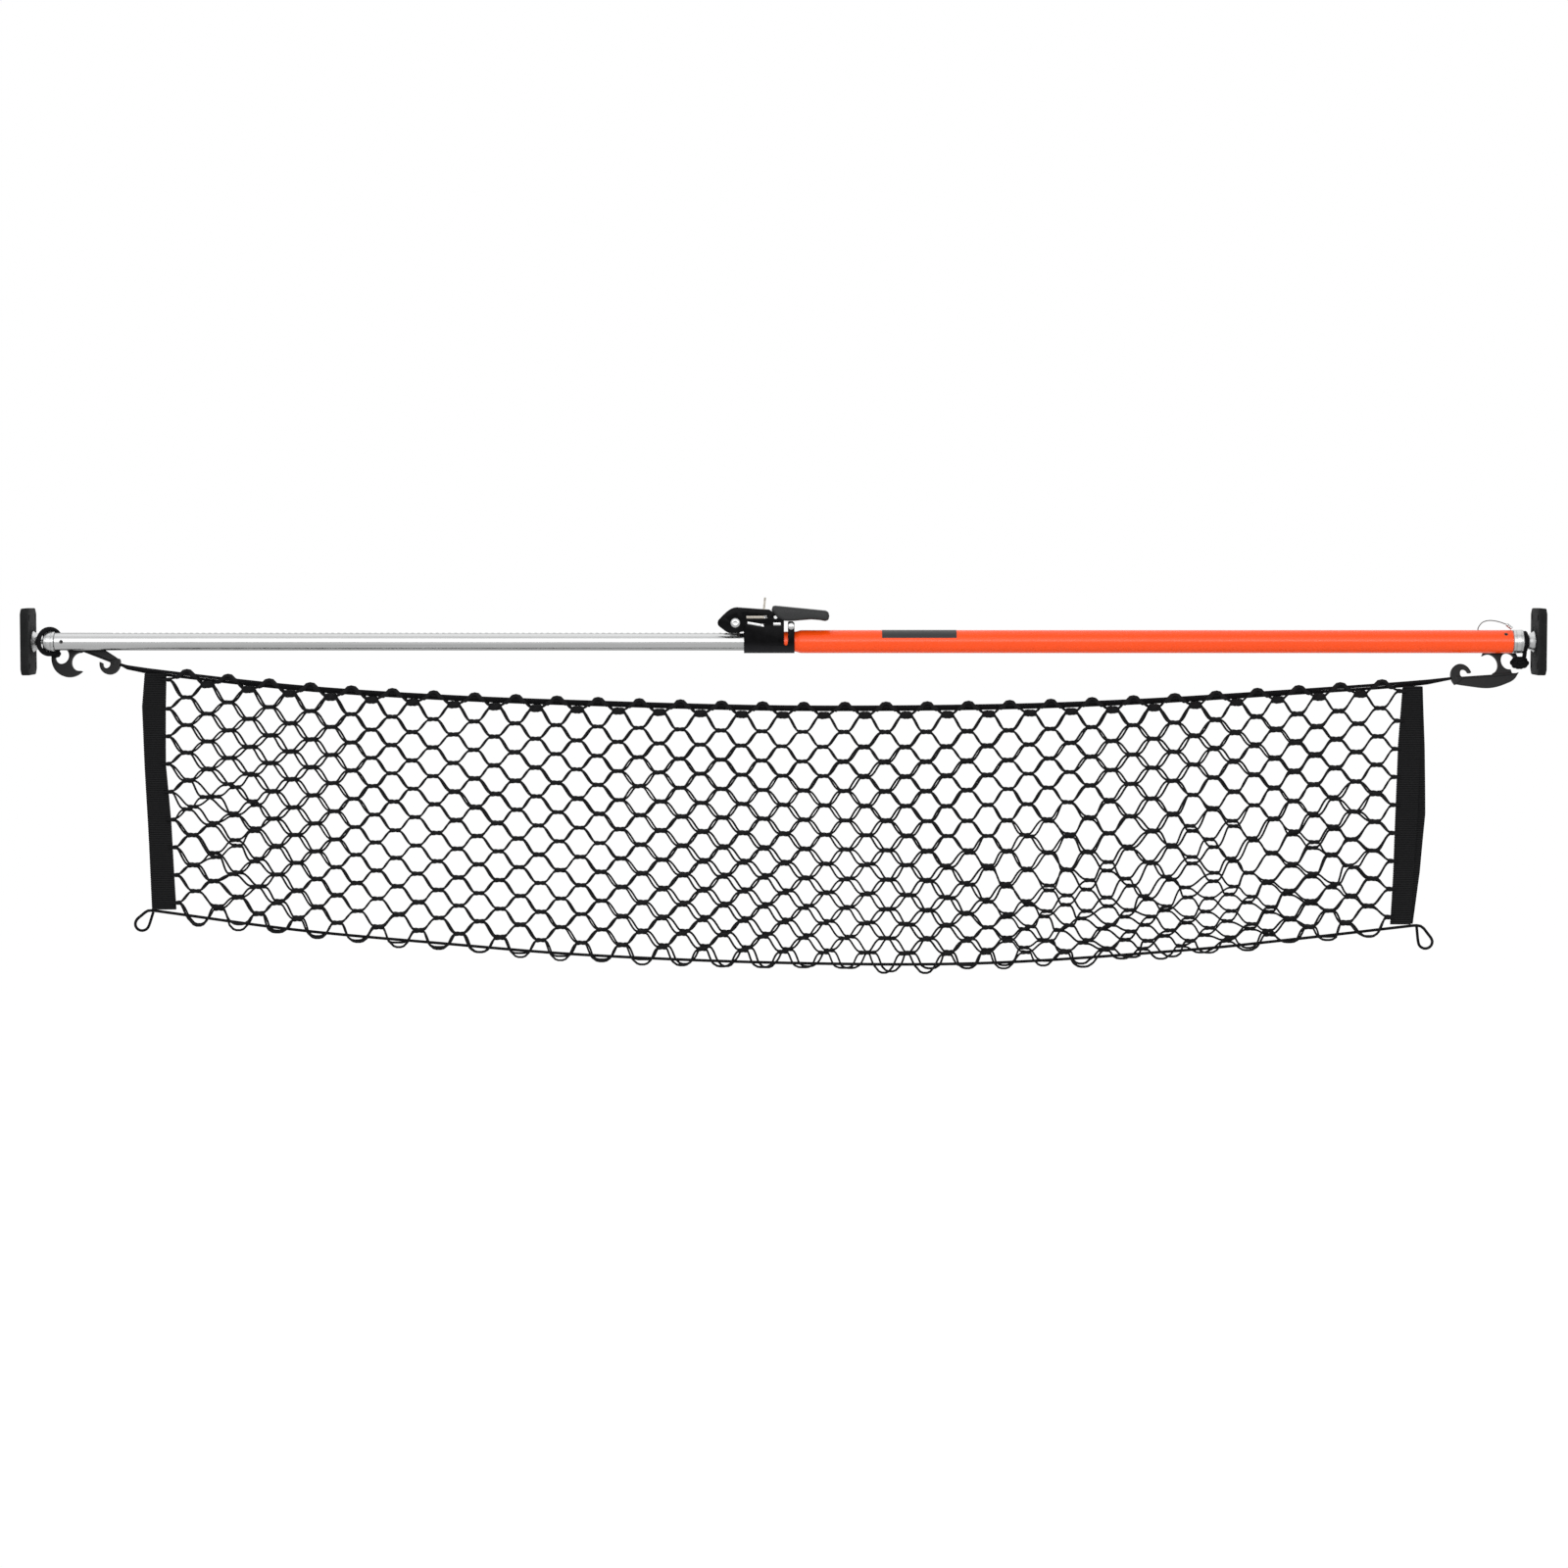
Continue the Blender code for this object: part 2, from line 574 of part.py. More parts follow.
def make_housing():
    """Folded steel housing: a sleeve on the tubes, two ears for the axle and a clamping strap."""
    top = AXLE_Z + EAR_R
    front = AXLE_X - EAR_R
    shape = [(HOUSING_OUT, top), *arc((0, 0), HOUSING_OUT, 0, -180, 17), (-HOUSING_OUT, top),
             (-HOUSING_IN, top), *arc((0, 0), HOUSING_IN, -180, 0, 17), (HOUSING_IN, top)]
    middle = (front + HOUSING_BACK) / 2
    length = HOUSING_BACK - front + EAR_R
    housing = plate("ratchet_housing", shape, length, BLACK, plane="YZ", centre=middle)
    strap = HOUSING_BACK - SPLIT_FROM_END
    below = -2 * HOUSING_OUT
    side = [
        (HOUSING_BACK, below), (HOUSING_BACK, STRAP_TOP), (strap, STRAP_TOP), (strap, SPLIT_BOTTOM),
        (strap - SPLIT_WIDTH, SPLIT_BOTTOM), (strap - SPLIT_WIDTH, HOUSING_TOP),
        (HOUSING_FRONT + CLEAR, HOUSING_TOP), *arc((AXLE_X, AXLE_Z), EAR_R, 60, 270, 12),
        (HOUSING_FRONT, AXLE_Z - EAR_R), (HOUSING_FRONT, below),
    ]
    holes = [
        arc((AXLE_X, AXLE_Z), AXLE_R + CLEAR, 0, 345, 24),
        arc((HOUSING_BACK - SPLIT_FROM_END / 2, CLAMP_Z), CLAMP_R + CLEAR, 0, 330, 12),
        hold_pawl_outline(CLEAR, PAWL_TRAVEL),
        spring_stop_outline(CLEAR),
    ]
    return combine(housing, plate("housing_side", side, 4 * HOUSING_OUT, None, holes), "INTERSECT")


def hold_pawl_place():
    """The hold pawl's tip and the direction in which it draws back."""
    along = Vector((math.cos(HOLD_PAWL_SLANT), 0, -math.sin(HOLD_PAWL_SLANT)))
    tip = AXLE + (TIP_R + PAWL_GAP + PAWL_THICK / 8) * Vector((1, 0, 0))
    return tip, along


def hold_pawl_outline(grow, travel):
    """The flat hold pawl from its side, or its slot when it is grown and lengthened by its travel."""
    tip, along = hold_pawl_place()
    up = Vector((math.sin(HOLD_PAWL_SLANT), 0, math.cos(HOLD_PAWL_SLANT)))
    half = PAWL_THICK / 2 + grow
    start = tip - along * grow
    end = tip + along * (HOLD_PAWL_LENGTH + travel + grow)
    corners = [start - up * half, end - up * half, end + up * half, start + up * half]
    return [(corner.x, corner.z) for corner in corners]


def spring_stop_outline(grow):
    """Flat cross bar that the hold pawl's spring pushes against, or its slot, from its side."""
    low_x = AXLE_X + STOP_AHEAD - grow
    high_x = AXLE_X + STOP_AHEAD + STOP_LENGTH + grow
    low_z = AXLE_Z - STOP_DROP - STOP_HEIGHT / 2 - grow
    high_z = AXLE_Z - STOP_DROP + STOP_HEIGHT / 2 + grow
    return [(low_x, low_z), (high_x, low_z), (high_x, high_z), (low_x, high_z)]


def coil_spring(name, start, end, material):
    """A small compression spring between two points along X."""
    count = SPRING_TURNS * 6
    points = []
    for k in range(count + 1):
        turn = 2 * math.pi * SPRING_TURNS * k / count
        x = start[0] + (end[0] - start[0]) * k / count
        points.append((x, SPRING_R * math.cos(turn), start[1] + SPRING_R * math.sin(turn)))
    pitch = abs(end[0] - start[0]) / SPRING_TURNS
    print(name, "least gap between turns, mm:", round(1000 * (pitch - 2 * SPRING_WIRE_R), 3))
    return cord(name, points, SPRING_WIRE_R, material, sides=1)


def make_ratchet_core():
    """Gear, its axle and spacers, the hold pawl, its spring and stop, and the clamp rivet."""
    root_r = PITCH_R - GEAR_DEDENDUM
    outline = []
    for tooth in range(GEAR_TEETH):
        middle = 2 * math.pi * tooth / GEAR_TEETH - math.pi / 2
        for radius, half in ((root_r, -TOOTH_ROOT / 2), (TIP_R, -TOOTH_TIP / 2),
                             (TIP_R, TOOTH_TIP / 2), (root_r, TOOTH_ROOT / 2)):
            angle = middle + half / radius
            outline.append((AXLE_X + radius * math.cos(angle), AXLE_Z + radius * math.sin(angle)))
    bore = arc((AXLE_X, AXLE_Z), AXLE_R + CLEAR, 0, 345, 24)
    plate("ratchet_gear", outline, GEAR_WIDTH, ZINC, [bore])
    for side, sign in (("front", -1), ("back", 1)):
        near = sign * (GEAR_WIDTH / 2 + CLEAR)
        far = sign * (HOUSING_IN - CLEAR)
        inner = AXLE_R + CLEAR
        ring = [(near, inner), (near, SPACER_R), (far, SPACER_R), (far, inner)]
        turned("gear_spacer_" + side, ring, ZINC, axis="Y", centre=AXLE, steps=24, closed=True)
    reach = CHEEK_OUT + CLEAR
    profile = [(-reach - AXLE_HEAD, 0), (-reach - AXLE_HEAD, AXLE_HEAD_R * 0.8),
               (-reach - AXLE_HEAD * 0.4, AXLE_HEAD_R), (-reach, AXLE_HEAD_R), (-reach, AXLE_R),
               (reach, AXLE_R), (reach, AXLE_HEAD_R), (reach + AXLE_HEAD * 0.4, AXLE_HEAD_R),
               (reach + AXLE_HEAD, AXLE_HEAD_R * 0.8), (reach + AXLE_HEAD, 0)]
    turned("gear_axle", profile, ZINC, axis="Y", centre=AXLE, steps=SMALL_ROUND)
    reach = HOUSING_OUT + CLEAR
    profile = [(-reach - CLAMP_HEAD, 0), (-reach - CLAMP_HEAD, CLAMP_HEAD_R), (-reach, CLAMP_HEAD_R),
               (-reach, CLAMP_R), (reach, CLAMP_R), (reach, CLAMP_HEAD_R),
               (reach + CLAMP_HEAD, CLAMP_HEAD_R), (reach + CLAMP_HEAD, 0)]
    centre = (HOUSING_BACK - SPLIT_FROM_END / 2, 0, CLAMP_Z)
    turned("clamp_rivet", profile, ZINC, axis="Y", centre=centre, steps=16)
    plate("hold_pawl", hold_pawl_outline(0, 0), 2 * (HOUSING_OUT + HOLD_PAWL_PROUD), ZINC)
    plate("spring_stop", spring_stop_outline(0), 2 * HOUSING_OUT + HOLD_PAWL_PROUD, ZINC)
    tip, along = hold_pawl_place()
    pawl_end = tip + along * HOLD_PAWL_LENGTH
    level = AXLE_Z - STOP_DROP - STOP_HEIGHT / 2 + SPRING_R
    start = (pawl_end.x + PAWL_THICK / 4 + CLEAR + SPRING_WIRE_R, level)
    end = (AXLE_X + STOP_AHEAD - CLEAR - SPRING_WIRE_R, level)
    coil_spring("hold_pawl_spring", start, end, ZINC)


def from_axle(points):
    """Outline points given from the gear's axle, as places in the row frame."""
    return [(AXLE_X + x, AXLE_Z + z) for x, z in points]


def handle_top(x):
    """Height of the handle's top edge above the axle."""
    return 0.0179 - (x - 0.0015) * 0.0029 / 0.0403


def make_handle():
    """Pressed steel handle channel, its grip, the drive pawl with its release tab, and its spring."""
    tongue_top = handle_top(GRIP_START) - GRIP_ROOF - CLEAR
    cheek = from_axle([
        (0.0045, -0.0119), (-0.0074, -0.0119), (-0.0155, -0.0067), (-0.0190, -0.0040),
        (-0.0205, 0.0000), (-0.0200, 0.0030), (-0.0109, 0.0122), (-0.0060, 0.0157),
        (0.0015, handle_top(0.0015)), (GRIP_START - 0.004, handle_top(GRIP_START - 0.004)),
        (GRIP_START + CLEAR, tongue_top), (TONGUE_END, tongue_top - 0.0040),
        (TONGUE_END, CHEEK_BOTTOM + 0.0030), (SEAT_PIN_X + 0.006, CHEEK_BOTTOM),
        (0.0130, CHEEK_BOTTOM), (0.0105, -0.0040),
    ])
    pawl_start = math.sqrt((TIP_R + PAWL_GAP) ** 2 - (DRIVE_PAWL_Z - PAWL_THICK / 2) ** 2)
    pawl_end = pawl_start + DRIVE_PAWL_LENGTH
    half = PAWL_THICK / 2
    seat = (AXLE_X + SEAT_PIN_X, AXLE_Z + DRIVE_PAWL_Z)
    slot = from_axle([
        (pawl_start - CLEAR, DRIVE_PAWL_Z - half - CLEAR),
        (pawl_end + PAWL_TRAVEL + CLEAR, DRIVE_PAWL_Z - half - CLEAR),
        (pawl_end + PAWL_TRAVEL + CLEAR, DRIVE_PAWL_Z + half + CLEAR),
        (pawl_start - CLEAR, DRIVE_PAWL_Z + half + CLEAR),
    ])
    holes = [arc((AXLE_X, AXLE_Z), AXLE_R + CLEAR, 0, 345, 24),
             arc(seat, SEAT_PIN_R + CLEAR, 0, 337.5, 16), slot]
    handle = plate("handle_frame", cheek, 2 * CHEEK_OUT, BLACK, holes)
    channel = [(-0.05, -0.05), (TONGUE_END + 0.01, -0.05),
               (TONGUE_END + 0.01, tongue_top - 0.0045 - WEB_WALL),
               (GRIP_START - 0.0020, tongue_top - WEB_WALL),
               (GRIP_START - 0.0060, handle_top(GRIP_START - 0.0060) - WEB_WALL),
               (WEB_START, handle_top(WEB_START) - WEB_WALL), (WEB_START, 0.05), (-0.05, 0.05)]
    handle = combine(handle, plate("channel", from_axle(channel), 2 * CHEEK_IN))
    tab_x = pawl_end - TAB_THICK
    window_low = (AXLE_X + tab_x - CLEAR, -TAB_WIDTH / 2 - CLEAR, AXLE_Z + DRIVE_PAWL_Z + half)
    window_high = (AXLE_X + pawl_end + TAB_LEAN + PAWL_TRAVEL + CLEAR, TAB_WIDTH / 2 + CLEAR, AXLE_Z + 0.03)
    combine(handle, box("tab_window", window_low, window_high))
    rod("spring_seat_pin", SEAT_PIN_R, -CHEEK_OUT, CHEEK_OUT, seat, ZINC, steps=16)
    blade = from_axle([
        (pawl_start, DRIVE_PAWL_Z - half), (pawl_end, DRIVE_PAWL_Z - half),
        (pawl_end, DRIVE_PAWL_Z + half), (pawl_start, DRIVE_PAWL_Z + half),
    ])
    pawl = plate("drive_pawl", blade, 2 * (CHEEK_OUT + DRIVE_PAWL_PROUD), ZINC)
    tab = from_axle([
        (tab_x, DRIVE_PAWL_Z), (pawl_end, DRIVE_PAWL_Z), (pawl_end + TAB_LEAN * 0.3, TAB_HEIGHT / 2),
        (pawl_end + TAB_LEAN, TAB_HEIGHT), (tab_x + TAB_LEAN, TAB_HEIGHT),
        (tab_x + TAB_LEAN * 0.3, TAB_HEIGHT / 2),
    ])
    combine(pawl, plate("tab", tab, TAB_WIDTH), "UNION")
    level = AXLE_Z + DRIVE_PAWL_Z
    start = (AXLE_X + pawl_end + CLEAR + SPRING_WIRE_R, level)
    end = (AXLE_X + SEAT_PIN_X - SEAT_PIN_R - CLEAR - SPRING_WIRE_R, level)
    coil_spring("drive_pawl_spring", start, end, ZINC)
    make_grip(tongue_top)


def make_grip(tongue_top):
    """Moulded grip over the handle's tongue, open below where the housing's side stands inside."""
    end = GRIP_START + GRIP_LENGTH
    top = handle_top(GRIP_START) + GRIP_ROOF + CLEAR + GRIP_RISE
    bottom = STRAP_TOP + 3 * CLEAR - AXLE_Z
    outline = from_axle([
        (GRIP_START + 0.0135, bottom), (GRIP_START + 0.0260, bottom),
        (GRIP_START + 0.0450, bottom + 0.0018),
        (end - 0.0030, bottom - 0.0006), (end - 0.0008, bottom + 0.0020), (end, bottom + 0.0060),
        (end - 0.0010, bottom + 0.0100), (end - 0.0040, bottom + 0.0118),
        (GRIP_START + 0.0030, top), (GRIP_START, top - 0.0006), (GRIP_START - 0.0016, top - 0.0050),
        (GRIP_START + 0.0050, bottom + 0.0042),
    ])
    half = CHEEK_OUT + CLEAR + GRIP_WALL
    grip = plate("handle_grip", outline, 2 * half, GRIP)
    soften = grip.modifiers.new("soften", "BEVEL")
    soften.width = GRIP_EDGE
    soften.segments = 1
    soften.limit_method = "ANGLE"
    soften.angle_limit = math.radians(60)
    bpy.context.view_layer.update()
    kept = grip.data.materials[0]
    grip.name = "grip_before"
    grip = add_object("handle_grip", mesh_of(grip), kept)
    pocket = from_axle([
        (GRIP_START - 0.01, -0.03), (TONGUE_END + CLEAR, -0.03),
        (TONGUE_END + CLEAR, tongue_top - 0.0040 + CLEAR),
        (GRIP_START + CLEAR, tongue_top + CLEAR), (GRIP_START - 0.01, tongue_top + 0.02),
    ])
    return combine(grip, plate("tongue_pocket", pocket, 2 * (CHEEK_OUT + CLEAR)))


def ring_points(centre, wide, high, tilt):
    """Points round an oval loop that stands across the bar, turned about Z."""
    turn = Matrix.Rotation(tilt, 3, "Z")
    angles = [2 * math.pi * k / LOOP_POINTS for k in range(LOOP_POINTS)]
    return [Vector(centre) + turn @ Vector((0, wide * math.cos(a), high * math.sin(a))) for a in angles]


def make_left_loop():
    """Elastic cord loop drawn slantwise round the left plug, with its knot in the hook's eye."""
    centre = (-INNER_END - PLUG_FLANGE / 2, 0, 0)
    points = ring_points(centre, LEFT_LOOP_R, LEFT_LOOP_R * LEFT_LOOP_DRAW, -LEFT_LOOP_TILT)
    loop = cord("left_loop", points, LOOP_CORD_R, TEXTILE, sides=1, cyclic=True)
    return combine(loop, ball("knot", LEFT_KNOT, LEFT_KNOT_RADII), "UNION")


def make_right_loop():
    """Elastic cord ring between the right plug and its socket, gathered below into a large knot."""
    centre = (-PLUG_FACE + RIGHT_LOOP_SHIFT, 0, 0)
    points = ring_points(centre, RIGHT_LOOP_R, RIGHT_LOOP_R, 0.0)
    loop = cord("right_loop", points, RIGHT_LOOP_CORD_R, TEXTILE, sides=1, cyclic=True)
    drop = [(centre[0], 0, -RIGHT_LOOP_R), (centre[0], 0, RIGHT_KNOT[2])]
    loop = combine(loop, cord("drop", drop, RIGHT_LOOP_CORD_R * 0.98, TEXTILE, sides=1), "UNION")
    return combine(loop, ball("knot", RIGHT_KNOT, RIGHT_KNOT_RADII), "UNION")


def hook_outline():
    """The hook's two horns and the web between them, seen flat, from the eye's centre."""
    eye = arc((0, 0), EYE_R, 0, 270, 20)
    bow = arc((BOW_X, BOW_Z), BOW_R, 2, 146, 22)
    catch = arc((CATCH_X, CATCH_Z), CATCH_R, 96, -90, 16)
    low = CATCH_Z - CATCH_R - 0.0010
    front = bow[0]
    return [(EYE_R, 0.0), front, *bow[1:], *catch, (CATCH_X, low - 0.0030), (0.0, -0.0130), *eye[::-1]]


def make_hook(side, eye, turn, yaw, lean):
    """Moulded double hook: an eye for the loop, an open catch, and a tail for the net's cord."""
    body = plate(side + "_hook", hook_outline(), HOOK_THICK, PLASTIC)
    belly = smooth_route([(x, 0, z) for x, z in SPINE_BELLY], 0.006)
    spine = plate("spine", [SPINE_BACK, SPINE_FRONT, *[(p.x, p.z) for p in belly]], SPINE_THICK)
    body = combine(body, spine, "UNION")
    tail = [*arc((TAIL_X, TAIL_Z), TAIL_R, 2, 215, 20),
            *arc((TAIL_HOLE_X, TAIL_HOLE_Z), TAIL_HOLE_R, 240, 0, 14)]
    body = combine(body, plate("tail", tail, HOOK_THICK), "UNION")
    shear = Matrix.Identity(4)
    shear[1][2] = lean
    place = Matrix.Translation(eye) @ Matrix.Rotation(yaw, 4, "Z") @ Matrix.Rotation(-turn, 4, "Y") @ shear
    body.data.transform(place)
    return body, place


def height_on(route, x):
    """Height of a route's smooth curve at X."""
    points = smooth_route([(a, 0, b) for a, b in route], CORD_STEP / 4)
    for first, second in zip(points, points[1:]):
        if first.x <= x <= second.x:
            share = (x - first.x) / (second.x - first.x)
            return first.z + (second.z - first.z) * share
    return points[0].z if x < points[0].x else points[-1].z


def place_on(edge, z):
    """X of a webbing's centre line at a height."""
    if z >= edge[0][1]:
        return edge[0][0]
    for (x_a, z_a), (x_b, z_b) in zip(edge, edge[1:]):
        if z_b <= z <= z_a:
            return x_a + (x_b - x_a) * (z - z_a) / (z_b - z_a)
    return edge[-1][0]


def make_webbing(side, edge):
    """Flat sewn webbing down one end of the net."""
    half = WEBBING_WIDTH / 2
    line = [Vector((x, 0, z)) for x, z in edge]
    outline = [(p.x - half, p.z) for p in line] + [(p.x + half, p.z) for p in line[::-1]]
    return plate(side + "_webbing", outline, WEBBING_THICK, TEXTILE)


def net_point(share, level):
    """A place in the net from its share of the width and of the height."""
    half = WEBBING_WIDTH / 2 + 2 * CLEAR
    z = (TOP_ROUTE[0][1] + BOTTOM_ROUTE[0][1]) / 2
    for _ in range(4):
        left = place_on(LEFT_WEBBING, z) + half
        right = place_on(RIGHT_WEBBING, z) - half
        x = left + (right - left) * share
        top = height_on(TOP_ROUTE, x)
        bottom = height_on(BOTTOM_ROUTE, x) + BOTTOM_CORD_R + CLEAR
        z = bottom + (top - bottom) * level
    return (x, z)


def clip_cell(cell, low, high):
    """The part of a convex outline that lies inside a rectangle."""
    for axis, limit, sign in ((0, low[0], 1), (0, high[0], -1), (1, low[1], 1), (1, high[1], -1)):
        kept = []
        for first, second in zip(cell, cell[1:] + cell[:1]):
            a = sign * (first[axis] - limit)
            b = sign * (second[axis] - limit)
            if a >= 0:
                kept.append(first)
            if a * b < 0:
                share = a / (a - b)
                kept.append(tuple(p + (q - p) * share for p, q in zip(first, second)))
        cell = kept
    return cell


def span_of(cell, axis):
    """How far an outline reaches along one axis."""
    values = [point[axis] for point in cell]
    return max(values, default=0) - min(values, default=0)


def make_net():
    """Flat knotless net of six-sided meshes inside a narrow rim."""
    span = TOP_ROUTE[-1][0] - TOP_ROUTE[0][0] - WEBBING_WIDTH
    drop = TOP_ROUTE[0][1] - BOTTOM_ROUTE[0][1]
    rim_x = RIM / span
    rim_z = RIM / drop
    wide = (1 - 2 * rim_x) / (NET_COLUMNS + 0.5)
    tall = (1 - 2 * rim_z) / (NET_ROWS + 0.5)
    strand_x = STRAND / span / 2
    strand_z = STRAND / drop / 2
    flat = FLAT_SHARE * wide / 2
    low = (rim_x, rim_z)
    high = (1 - rim_x, 1 - rim_z)
    holes = []
    for row in range(-1, 2 * NET_ROWS + 1):
        level = rim_z + tall * (row / 2 + 0.5)
        shift = 0.5 if row % 2 else 0.0
        for column in range(-1, NET_COLUMNS + 1):
            share = rim_x + wide * (column + 0.5 + shift)
            reach_x = wide / 2 - flat - strand_x * 1.3
            reach_z = tall / 2 - strand_z
            corners = [(-reach_x, 0), (-flat, -reach_z), (flat, -reach_z),
                       (reach_x, 0), (flat, reach_z), (-flat, reach_z)]
            cell = clip_cell([(share + a, level + b) for a, b in corners], low, high)
            if len(cell) > 2 and span_of(cell, 0) > wide / 5 and span_of(cell, 1) > tall / 5:
                holes.append([net_point(a, b) for a, b in cell])
    across = [k / 24 for k in range(25)]
    up = [k / 12 for k in range(1, 12)]
    outline = ([net_point(s, 0) for s in across] + [net_point(1, t) for t in up]
               + [net_point(s, 1) for s in across[::-1]] + [net_point(0, t) for t in up[::-1]])
    print("net gaps:", len(holes))
    return plate("net_mesh", outline, NET_THICK, TEXTILE, holes)


def make_net_cords(left_tail, right_tail):
    """Top cords from hook to hook, the bottom cord, and the corner loops."""
    for side, y in (("front", -CORD_SPREAD), ("back", CORD_SPREAD)):
        route = [(x, y, z) for x, z in TOP_ROUTE]
        left = (left_tail[0], left_tail[1] + y * 0.7, left_tail[2])
        right = (right_tail[0], right_tail[1] + y * 0.7, right_tail[2])
        points = smooth_route([left, *route, right], CORD_STEP)
        cord(side + "_top_cord", points, TOP_CORD_R, TEXTILE, sides=1)
    route = [(x, 0, z) for x, z in BOTTOM_ROUTE]
    cord("bottom_cord", smooth_route(route, CORD_STEP), BOTTOM_CORD_R, TEXTILE, sides=1)
    ends = (("left", LEFT_CORNER_LOOP, route[0], route[1]),
            ("right", RIGHT_CORNER_LOOP, route[-1], route[-2]))
    for side, loop, end, inner in ends:
        outward = (Vector(end) - Vector(inner)).normalized()
        start = Vector(end) + outward * CLEAR
        cord(side + "_corner_loop", smooth_route([start, *loop], 0.005), BOTTOM_CORD_R, TEXTILE, sides=1)


def make_tether():
    """Thin steel wire bent over the tube's end, with its crimped sleeve."""
    top = OUTER_OD / 2
    crimp = Vector((-OUTER_END - 0.0035, -0.0005, top + 0.0042))
    lean = Vector((0.80, 0, -0.60)) * CRIMP_LENGTH / 2
    wire = [
        (-OUTER_END - 0.0390, 0.0060, top - 0.0010), (-OUTER_END - 0.0385, 0.0050, top + 0.0030),
        (-OUTER_END - 0.0340, 0.0030, top + 0.0090), (-OUTER_END - 0.0260, 0.0012, top + 0.0112),
        (-OUTER_END - 0.0160, 0.0000, top + 0.0098), crimp - lean * (1 + 2 * CLEAR / CRIMP_LENGTH),
    ]
    cord("tether_wire", smooth_route(wire, 0.0035), TETHER_R, ZINC, sides=1)
    sleeve = [crimp - lean, crimp + lean]
    cord("tether_crimp", sleeve, CRIMP_R, ZINC)


BODIES = {
    "outer_bar": ((0, 0, 0), [
        "outer_tube", "right_end_plug", "right_plug_pin", "ratchet_housing", "gear_axle",
        "gear_spacer_front", "gear_spacer_back", "clamp_rivet", "spring_stop", "hold_pawl_spring",
        "tether_wire", "tether_crimp"]),
    "inner_bar": ((-INNER_END, 0, 0), ["inner_tube", "left_end_plug", "left_plug_pin", "guide_bush"]),
    "gear": (AXLE, ["ratchet_gear"]),
    "handle": (AXLE, ["handle_frame", "handle_grip", "spring_seat_pin", "drive_pawl_spring"]),
    "drive_pawl_body": (AXLE, ["drive_pawl"]),
    "hold_pawl_body": (AXLE, ["hold_pawl"]),
    "left_liner_body": ((BALL_DEPTH - BAR_LENGTH, 0, 0), ["left_ball_liner"]),
    "left_foot": ((BALL_DEPTH - BAR_LENGTH, 0, 0), ["left_pad", "left_socket"]),
    "right_liner_body": ((-BALL_DEPTH, 0, 0), ["right_ball_liner"]),
    "right_foot": ((-BALL_DEPTH, 0, 0), ["right_pad", "right_socket"]),
    "left_hook_body": ((-INNER_END, 0, 0), ["left_hook", "left_loop"]),
    "net": ((-OUTER_END, 0, 0), [
        "right_hook", "right_loop", "net_mesh", "front_top_cord", "back_top_cord", "bottom_cord",
        "left_webbing", "right_webbing", "left_corner_loop", "right_corner_loop"]),
}


def group_bodies():
    """Parent each piece to an empty on its body's joint axis."""
    for body, (pivot, names) in BODIES.items():
        empty = bpy.data.objects.new(body, None)
        bar_collection.objects.link(empty)
        empty.location = pivot
        for name in names:
            piece = bpy.data.objects[name]
            piece.data.transform(Matrix.Translation(-Vector(pivot)))
            piece.parent = empty


def build():
    """Make every piece of the bar."""
    for side, face, inward in mirrored_ends():
        make_end_pad(side, face, inward)
        make_ball_joint(side, face, inward)
    make_end_plug("right", 0.0, -1.0, OUTER_OD, OUTER_WALL, OUTER_PLUG_LIP)
    make_end_plug("left", -BAR_LENGTH, 1.0, INNER_OD, INNER_WALL, PLUG_LIP)
    make_outer_tube()
    make_inner_tube()
    make_housing()
    make_ratchet_core()
    make_handle()
    make_left_loop()
    make_right_loop()
    left_hook, left_place = make_hook("left", LEFT_HOOK_EYE, LEFT_HOOK_TURN, LEFT_HOOK_YAW, LEFT_HOOK_LEAN)
    right_hook, right_place = make_hook(
        "right", RIGHT_HOOK_EYE, RIGHT_HOOK_TURN, RIGHT_HOOK_YAW, RIGHT_HOOK_LEAN)
    tail_end = Vector((TAIL_X - TAIL_R - 2 * CLEAR, 0, TAIL_Z))
    make_net_cords(left_place @ tail_end, right_place @ tail_end)
    for side, edge in (("left", LEFT_WEBBING), ("right", RIGHT_WEBBING)):
        make_webbing(side, edge)
    make_net()
    make_tether()
    group_bodies()


build()
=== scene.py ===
"""Looks of a ratcheting truck bed cargo bar with a hooked cargo net, laid out as a Blender add-on."""

import json
import math

import bpy
from bpy.props import FloatProperty, FloatVectorProperty, IntProperty, PointerProperty
from mathutils import Matrix, Vector, noise


